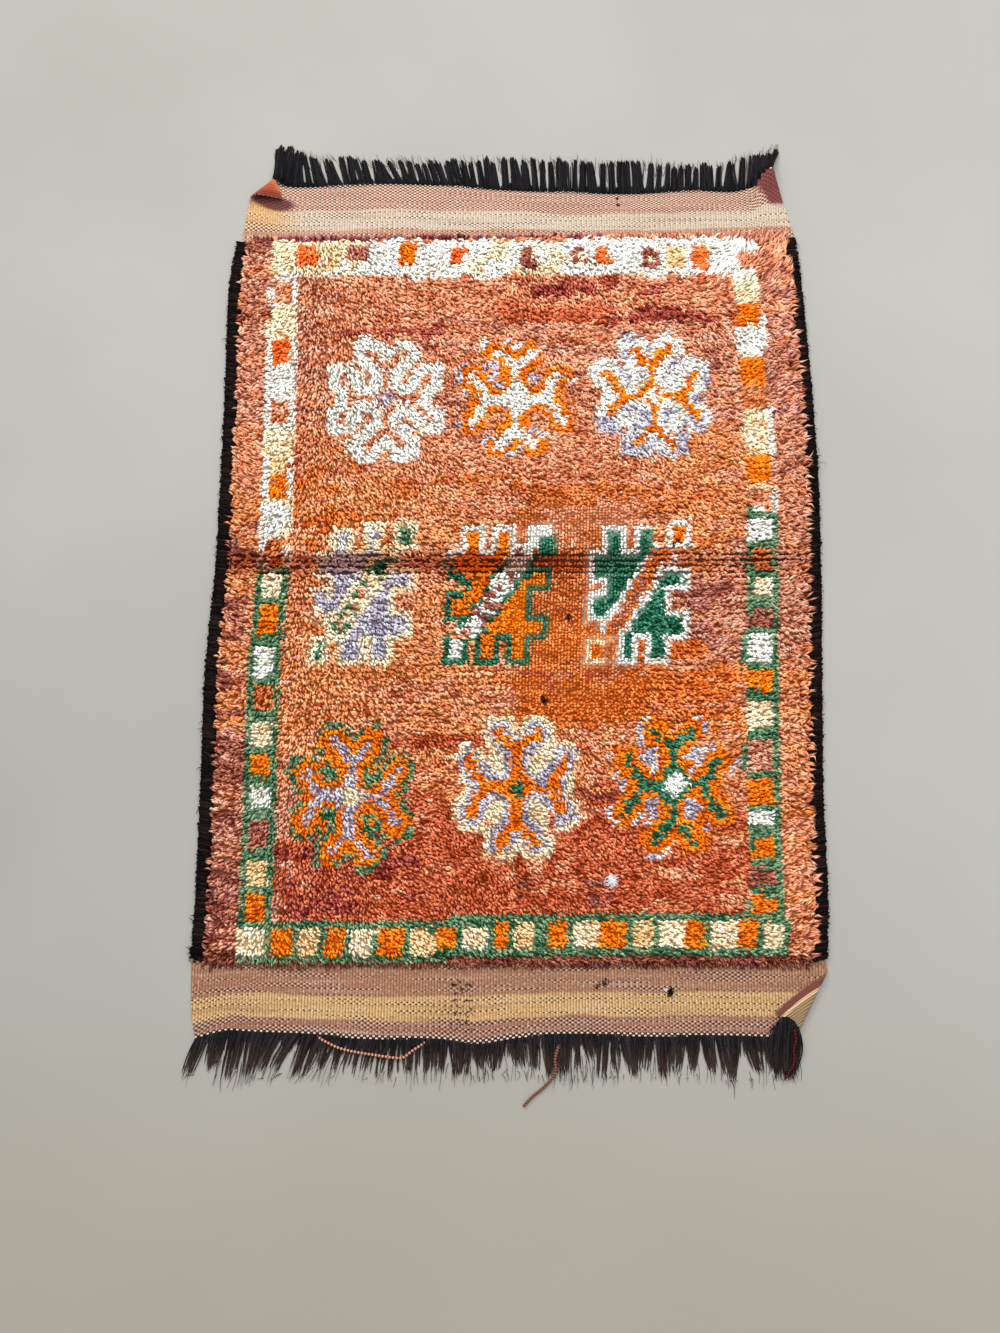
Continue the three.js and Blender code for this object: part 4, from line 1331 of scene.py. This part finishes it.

# %% [markdown]
# ## Loose yarns
# A few ends hang out of the weave: a thick brown weft at the middle of the lower end, a beaded
# piece of weft that has slipped out under the lower left part, and a red thread in the folded
# corner's fringe. Each is one round yarn along a given line.

# %% Place the loose yarns
YARN_LEVELS = 145
thread = model_strand("thread", 6, list(np.linspace(0, 1, YARN_LEVELS)))


def smooth_line(points, count):
    """A soft curve through the points, with count even steps in its own measure."""
    points = np.array(points, float)
    run = np.concatenate([[0], np.cumsum(np.linalg.norm(np.diff(points, axis=0), axis=1))])
    at = np.linspace(0, run[-1], count)
    table = np.column_stack([run, points])
    return np.stack([follow(table, axis, at) for axis in range(1, table.shape[1])], -1)


LOOSE_YARNS = {
    # name: (half width, main tint, second tint, beads, points)
    "loose_weft_middle": (2.3, (88, 52, 43), (136, 90, 72), 26, [
        (56, -690, 1.8), (52, -702, 4), (50.5, -711, 5), (51.5, -720, 4), (47.7, -731.7, 3.2),
        (34, -746, 2.6), (19, -757.8, 2.6), (7, -770, 2.6),
    ]),
    "loose_weft_left": (1.9, (108, 46, 36), (214, 164, 132), 34, [
        (-277, -678, 2), (-270, -683, 3.5), (-258, -689, 4.5), (-244.6, -694.5, 5), (-222.5, -699.5, 5),
        (-196.3, -703.4, 5), (-168.7, -707, 5), (-157.7, -706.5, 4.5), (-145.5, -698, 3.8),
        (-133.3, -690, 2.8), (-125, -684, 2),
    ]),
    "red_thread": (1.6, (100, 28, 34), (40, 12, 18), 16, [
        (377, -668, 15), (378.5, -682, 14.5), (375, -696, 12.8), (375.5, -710, 10.8),
        (369, -723, 8), (362, -735, 5),
    ]),
}
loose_yarns = []
for name, (half, main, second, beads, points) in LOOSE_YARNS.items():
    line = smooth_line(points, YARN_LEVELS)
    along = np.linspace(0, 1, YARN_LEVELS)
    bead = 0.5 + 0.5 * np.cos(2 * np.pi * beads * along)
    tints = tint(*main) * (1 - bead[:, None] ** 2) + tint(*second) * bead[:, None] ** 2
    width = half * (0.75 + 0.35 * bead)
    loose_yarns.append(grow(name, thread, line[None], width[None], tints[None]))

# %% [markdown]
# ## Finishes
# The strands carry their own colours. Their finish adds only what is too fine to model: a
# mottle along the yarn and a fibrous bump. Dry wool is matt, so there is hardly any gloss.

# %% Wool and goat hair
def yarn_finish(name, mottle, roughness, fibre):
    """A matt yarn: mottle is how much its shade varies, and fibre the depth of its bump."""
    wool = Finish(name, Roughness=roughness, Specular_IOR_Level=0.06)
    place = wool.node("ShaderNodeTexCoord", output=3)
    colour = wool.node("ShaderNodeAttribute", {"attribute_name": "yarn"})
    shade = wool.noise(place, 420.0, 3.0).step(0.3, 0.7) * mottle + (1 - mottle)
    grey = wool.node("ShaderNodeCombineColor", {}, {0: shade, 1: shade, 2: shade})
    kept = {"data_type": "RGBA", "blend_type": "MULTIPLY"}
    wool.feed(Base_Color=wool.node("ShaderNodeMix", kept, {0: 1.0, 6: colour, 7: grey}, output=2))
    wool.bump(wool.noise(place, 1500.0, 2.0), fibre, 0.6)
    return wool.material


wool_pieces = [*pile.values(), *loose_yarns, *bits]
hair_pieces = [made for group in selvedges.values() for made in group]
warp_pieces = [fringe_top, fringe_bottom, fringe_flap, fine_hairs]
for pieces, finish in (
    (wool_pieces, yarn_finish("pile wool", 0.12, 1.0, 0.0006)),
    (hair_pieces, yarn_finish("goat hair", 0.4, 0.8, 0.0005)),
    (warp_pieces, yarn_finish("warp wool", 0.35, 0.8, 0.0005)),
):
    for made in pieces:
        made.data.materials.append(finish)
print("wool, goat hair and warp wool finished")

# %% [markdown]
# ## The flat weave
# At both ends the wefts cover the warps, so the face shows upright ribs, one over each warp,
# built of small beads that sit higher and lower by turns. The weft changes colour in stripes.
# Where the wefts are loose, at the fringe and in some rows, black warps show between the beads.
# All of this follows the map named warp and weft, which bends with the rolled corners.

# %% The map of the flat weave
RIB = 0.0041  # metres from one rib to the next
PICK = 0.0029  # and from one weft to the next
BACK_RIB = 0.0033
UPPER_DEPTH = 0.114  # metres from the knots to the fringe
LOWER_DEPTH = 0.107


class WeaveMap:
    """Where a place lies on the loom, in metres, and where it lies on a rib and a bead."""

    def __init__(self, weave):
        self.place = weave.node("ShaderNodeUVMap", {"uv_map": "warp and weft"})
        self.across = weave.node("ShaderNodeSeparateXYZ", {}, {0: self.place})
        self.along = weave.node("ShaderNodeSeparateXYZ", {}, {0: self.place}, output=1)
        slow = weave.noise(self.place, 9.0, 2.0) - 0.5
        self.quick = weave.noise(self.place, 60.0, 3.0) - 0.5
        # How far into each end, from 0 at the knots to 1 at the fringe
        up = (self.along - FIELD_TOP * MM) * (1 / UPPER_DEPTH)
        self.up = up + slow * 0.16 + self.quick * 0.04
        down = (FIELD_BOTTOM * MM - self.along) * (1 / LOWER_DEPTH)
        self.down = down + self.across * 0.1 + slow * 0.12 + self.quick * 0.04
        self.at_top = self.along > 0.0
        self.ochre = self.across.step(-0.33, -0.41)
        lengthwise = {0: self.place, 1: (6, 150, 1)}
        self.stretched = weave.node("ShaderNodeVectorMath", {"operation": "MULTIPLY"}, lengthwise)
        swing = self.across + slow * 0.004
        self.rib = swing.wave(RIB)
        self.bead = swing.wave(2 * RIB) * self.along.wave(2 * PICK)
        self.between = (self.rib * -1).step(-0.1, 0.8) * (0.56 - self.at_top * 0.2)


# %% The colours of the flat weave
def weft_stripes(weave, at):
    """The stripes of the upper and the lower end, and the lots that took more dye or less."""
    pale = weave.mix(at.ochre, rgba(180, 166, 147), rgba(186, 145, 92))
    top = weave.mix(at.up.step(0.185, 0.205), rgba(166, 122, 98), pale)
    top = weave.mix(at.up.step(0.53, 0.55), top, rgba(164, 124, 104))
    low = weave.mix(at.down.step(0.42, 0.45), rgba(146, 103, 77), rgba(184, 147, 94))
    low = weave.mix(at.down.step(0.73, 0.76), low, rgba(142, 99, 80))
    stripes = weave.mix(at.at_top, low, top)
    streak = weave.noise(at.stretched, 1.0, 3.0)
    stripes = weave.mix(streak.step(0.45, 0.75) * 0.4, stripes, rgba(115, 72, 57))
    return weave.mix(streak.step(0.5, 0.25) * 0.35, stripes, rgba(190, 168, 146))


def show_warps(weave, at, stripes):
    """Ribs and pale beads, and black warps where the wefts are loose, which varies by the row."""
    open_top = at.up.step(0.53, 0.58) * 0.4 + at.ochre * 0.1 + 0.27
    open_low = at.down.step(0.7, 0.78) * 0.25 + at.down.step(0.4, 0.47) * 0.06 + 0.22
    open_part = open_top * at.at_top + open_low * (1 - at.at_top)
    rows_open = weave.noise(at.stretched, 1.4, 1.0) - 0.5
    patches = weave.noise(at.place, 26.0, 2.0) - 0.5
    openness = open_part + rows_open * 3.2 + patches
    fleck = weave.noise(at.place, 270.0, 1.0)
    stripes = weave.mix(fleck.step(0.56, 0.72) * 0.3, stripes, rgba(236, 205, 180))
    stripes = weave.mix(fleck.step(0.44, 0.3) * 0.5, stripes, rgba(96, 62, 48))
    stripes = weave.mix(at.between, stripes, rgba(72, 44, 35))
    light_bead = at.bead.step(0.25, 0.8) * openness.step(0.1, 0.75) * (0.42 + at.at_top * 0.34)
    stripes = weave.mix(light_bead, stripes, rgba(236, 206, 180))
    gap = (at.bead * -1).step(0.05, 0.6) * openness.step(0.22, 0.66)
    return weave.mix(gap * 0.95, stripes, rgba(24, 16, 15))


# %% Marks and ends of the flat weave
def mark_weave(weave, at, stripes):
    """The maroon weft of the lifted corner, a painted shadow under the roll, and a worn place."""
    lifted_band = (at.across + at.along * 0.53).step(0.737, 0.747) * at.up.step(0.49, 0.56) * at.at_top
    maroon = weave.mix(at.between, rgba(96, 32, 38), rgba(48, 14, 18))
    stripes = weave.mix(lifted_band * 0.9, stripes, maroon)
    # Painted shadow: a deep maroon patch on the face just below the rolled corner
    aside = (at.across + 0.402) * (1 / 0.042)
    below = (at.along - 0.640) * (1 / 0.017)
    roll_shadow = (aside * aside + below * below).step(1.2, 0.45)
    stripes = weave.mix(roll_shadow * 0.9, stripes, rgba(70, 18, 14))
    thin = at.across.step(-0.1, -0.088) * at.across.step(-0.058, -0.066)
    thin = thin * at.along.step(-0.598, -0.606) * at.along.step(-0.672, -0.664)
    holes = weave.noise(at.place, 190.0, 1.0).step(0.56, 0.62)
    return weave.mix(thin * holes * 0.9, stripes, rgba(26, 16, 15))


def end_weave(weave, at, stripes):
    """Cream beads on black warps by the fringe, and painted shade, a dark rust, on the ground between knots
    under the pile.
    """
    last_top = (at.along - FIELD_TOP * MM).step(0.1072, 0.1092) * at.at_top
    last_low = (FIELD_BOTTOM * MM - at.along).step(0.1002, 0.1022) * (1 - at.at_top)
    root = last_top + last_low
    stripes = weave.mix(root * 0.94, stripes, rgba(24, 19, 20))
    stripes = weave.mix(root * at.bead.step(0.1, 0.5), stripes, rgba(208, 184, 164))
    # Painted shade: the cloth under the pile is dark rust, as it lies in the pile's shadow
    field = (at.along > (FIELD_BOTTOM + 5) * MM) * (at.along < (FIELD_TOP - 5) * MM)
    return weave.mix(field, stripes, rgba(69, 28, 17))


def turned_back(weave, at, stripes):
    """The underside, which shows on the rolled corner and on the fold with its bound edge."""
    inset_mm = weave.node("ShaderNodeAttribute", {"attribute_name": "inset"}, output=2)
    deep = weave.noise(at.place, 40.0, 2.0).step(0.35, 0.65)
    rolled = weave.mix(deep, rgba(186, 104, 58), rgba(150, 72, 42))
    # Painted shade: maroon along the rolled flap's edge, where it curls under
    rolled = weave.mix(inset_mm.step(16.0, 5.0) * 0.85, rolled, rgba(104, 30, 22))
    rolled = weave.mix(at.between, rolled, rgba(83, 33, 21))
    stripes = weave.mix(at.at_top * at.across.step(0.0, -0.01), stripes, rolled)
    bound = weave.mix(inset_mm.step(8.0, 9.0), rgba(106, 48, 46), rgba(206, 176, 134))
    bound = weave.mix(inset_mm.step(12.0, 13.0), bound, rgba(138, 114, 82))
    bound = weave.mix(at.across.wave(BACK_RIB).step(0.0, 0.7) * 0.7, bound, rgba(80, 62, 46))
    return weave.mix((1 - at.at_top) * at.across.step(0.3, 0.31), stripes, bound)


# %% The face and the back of the flat weave
def weave_finish(name, *more):
    """The finish of the flat weave, with any more marks after those that both sides have."""
    weave = Finish(name, Roughness=0.9, Sheen_Weight=0.15, Sheen_Roughness=0.5, Specular_IOR_Level=0.2)
    at = WeaveMap(weave)
    stripes = weft_stripes(weave, at)
    for add in (show_warps, mark_weave, end_weave, *more):
        stripes = add(weave, at, stripes)
    weave.feed(Base_Color=stripes)
    weave.bump(at.rib * 0.5 + at.bead * 0.35 + at.quick * 0.6, 0.0007, 0.8)
    return weave.material


cloth.data.materials[0] = weave_finish("flat weave")
cloth.data.materials[1] = weave_finish("flat weave back", turned_back)
print("flat weave finished")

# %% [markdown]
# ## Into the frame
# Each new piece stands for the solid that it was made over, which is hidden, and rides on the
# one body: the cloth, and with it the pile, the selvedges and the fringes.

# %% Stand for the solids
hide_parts("rug")
for side, group in selvedges.items():
    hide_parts(f"selvedge_{side}")
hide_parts("fringe_top")
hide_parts("fringe_bottom")
with_cloth = [*wool_pieces, *warp_pieces, *hair_pieces]
for made in (cloth, *with_cloth):
    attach(made, "root")
print(len(with_cloth) + 1, "pieces")
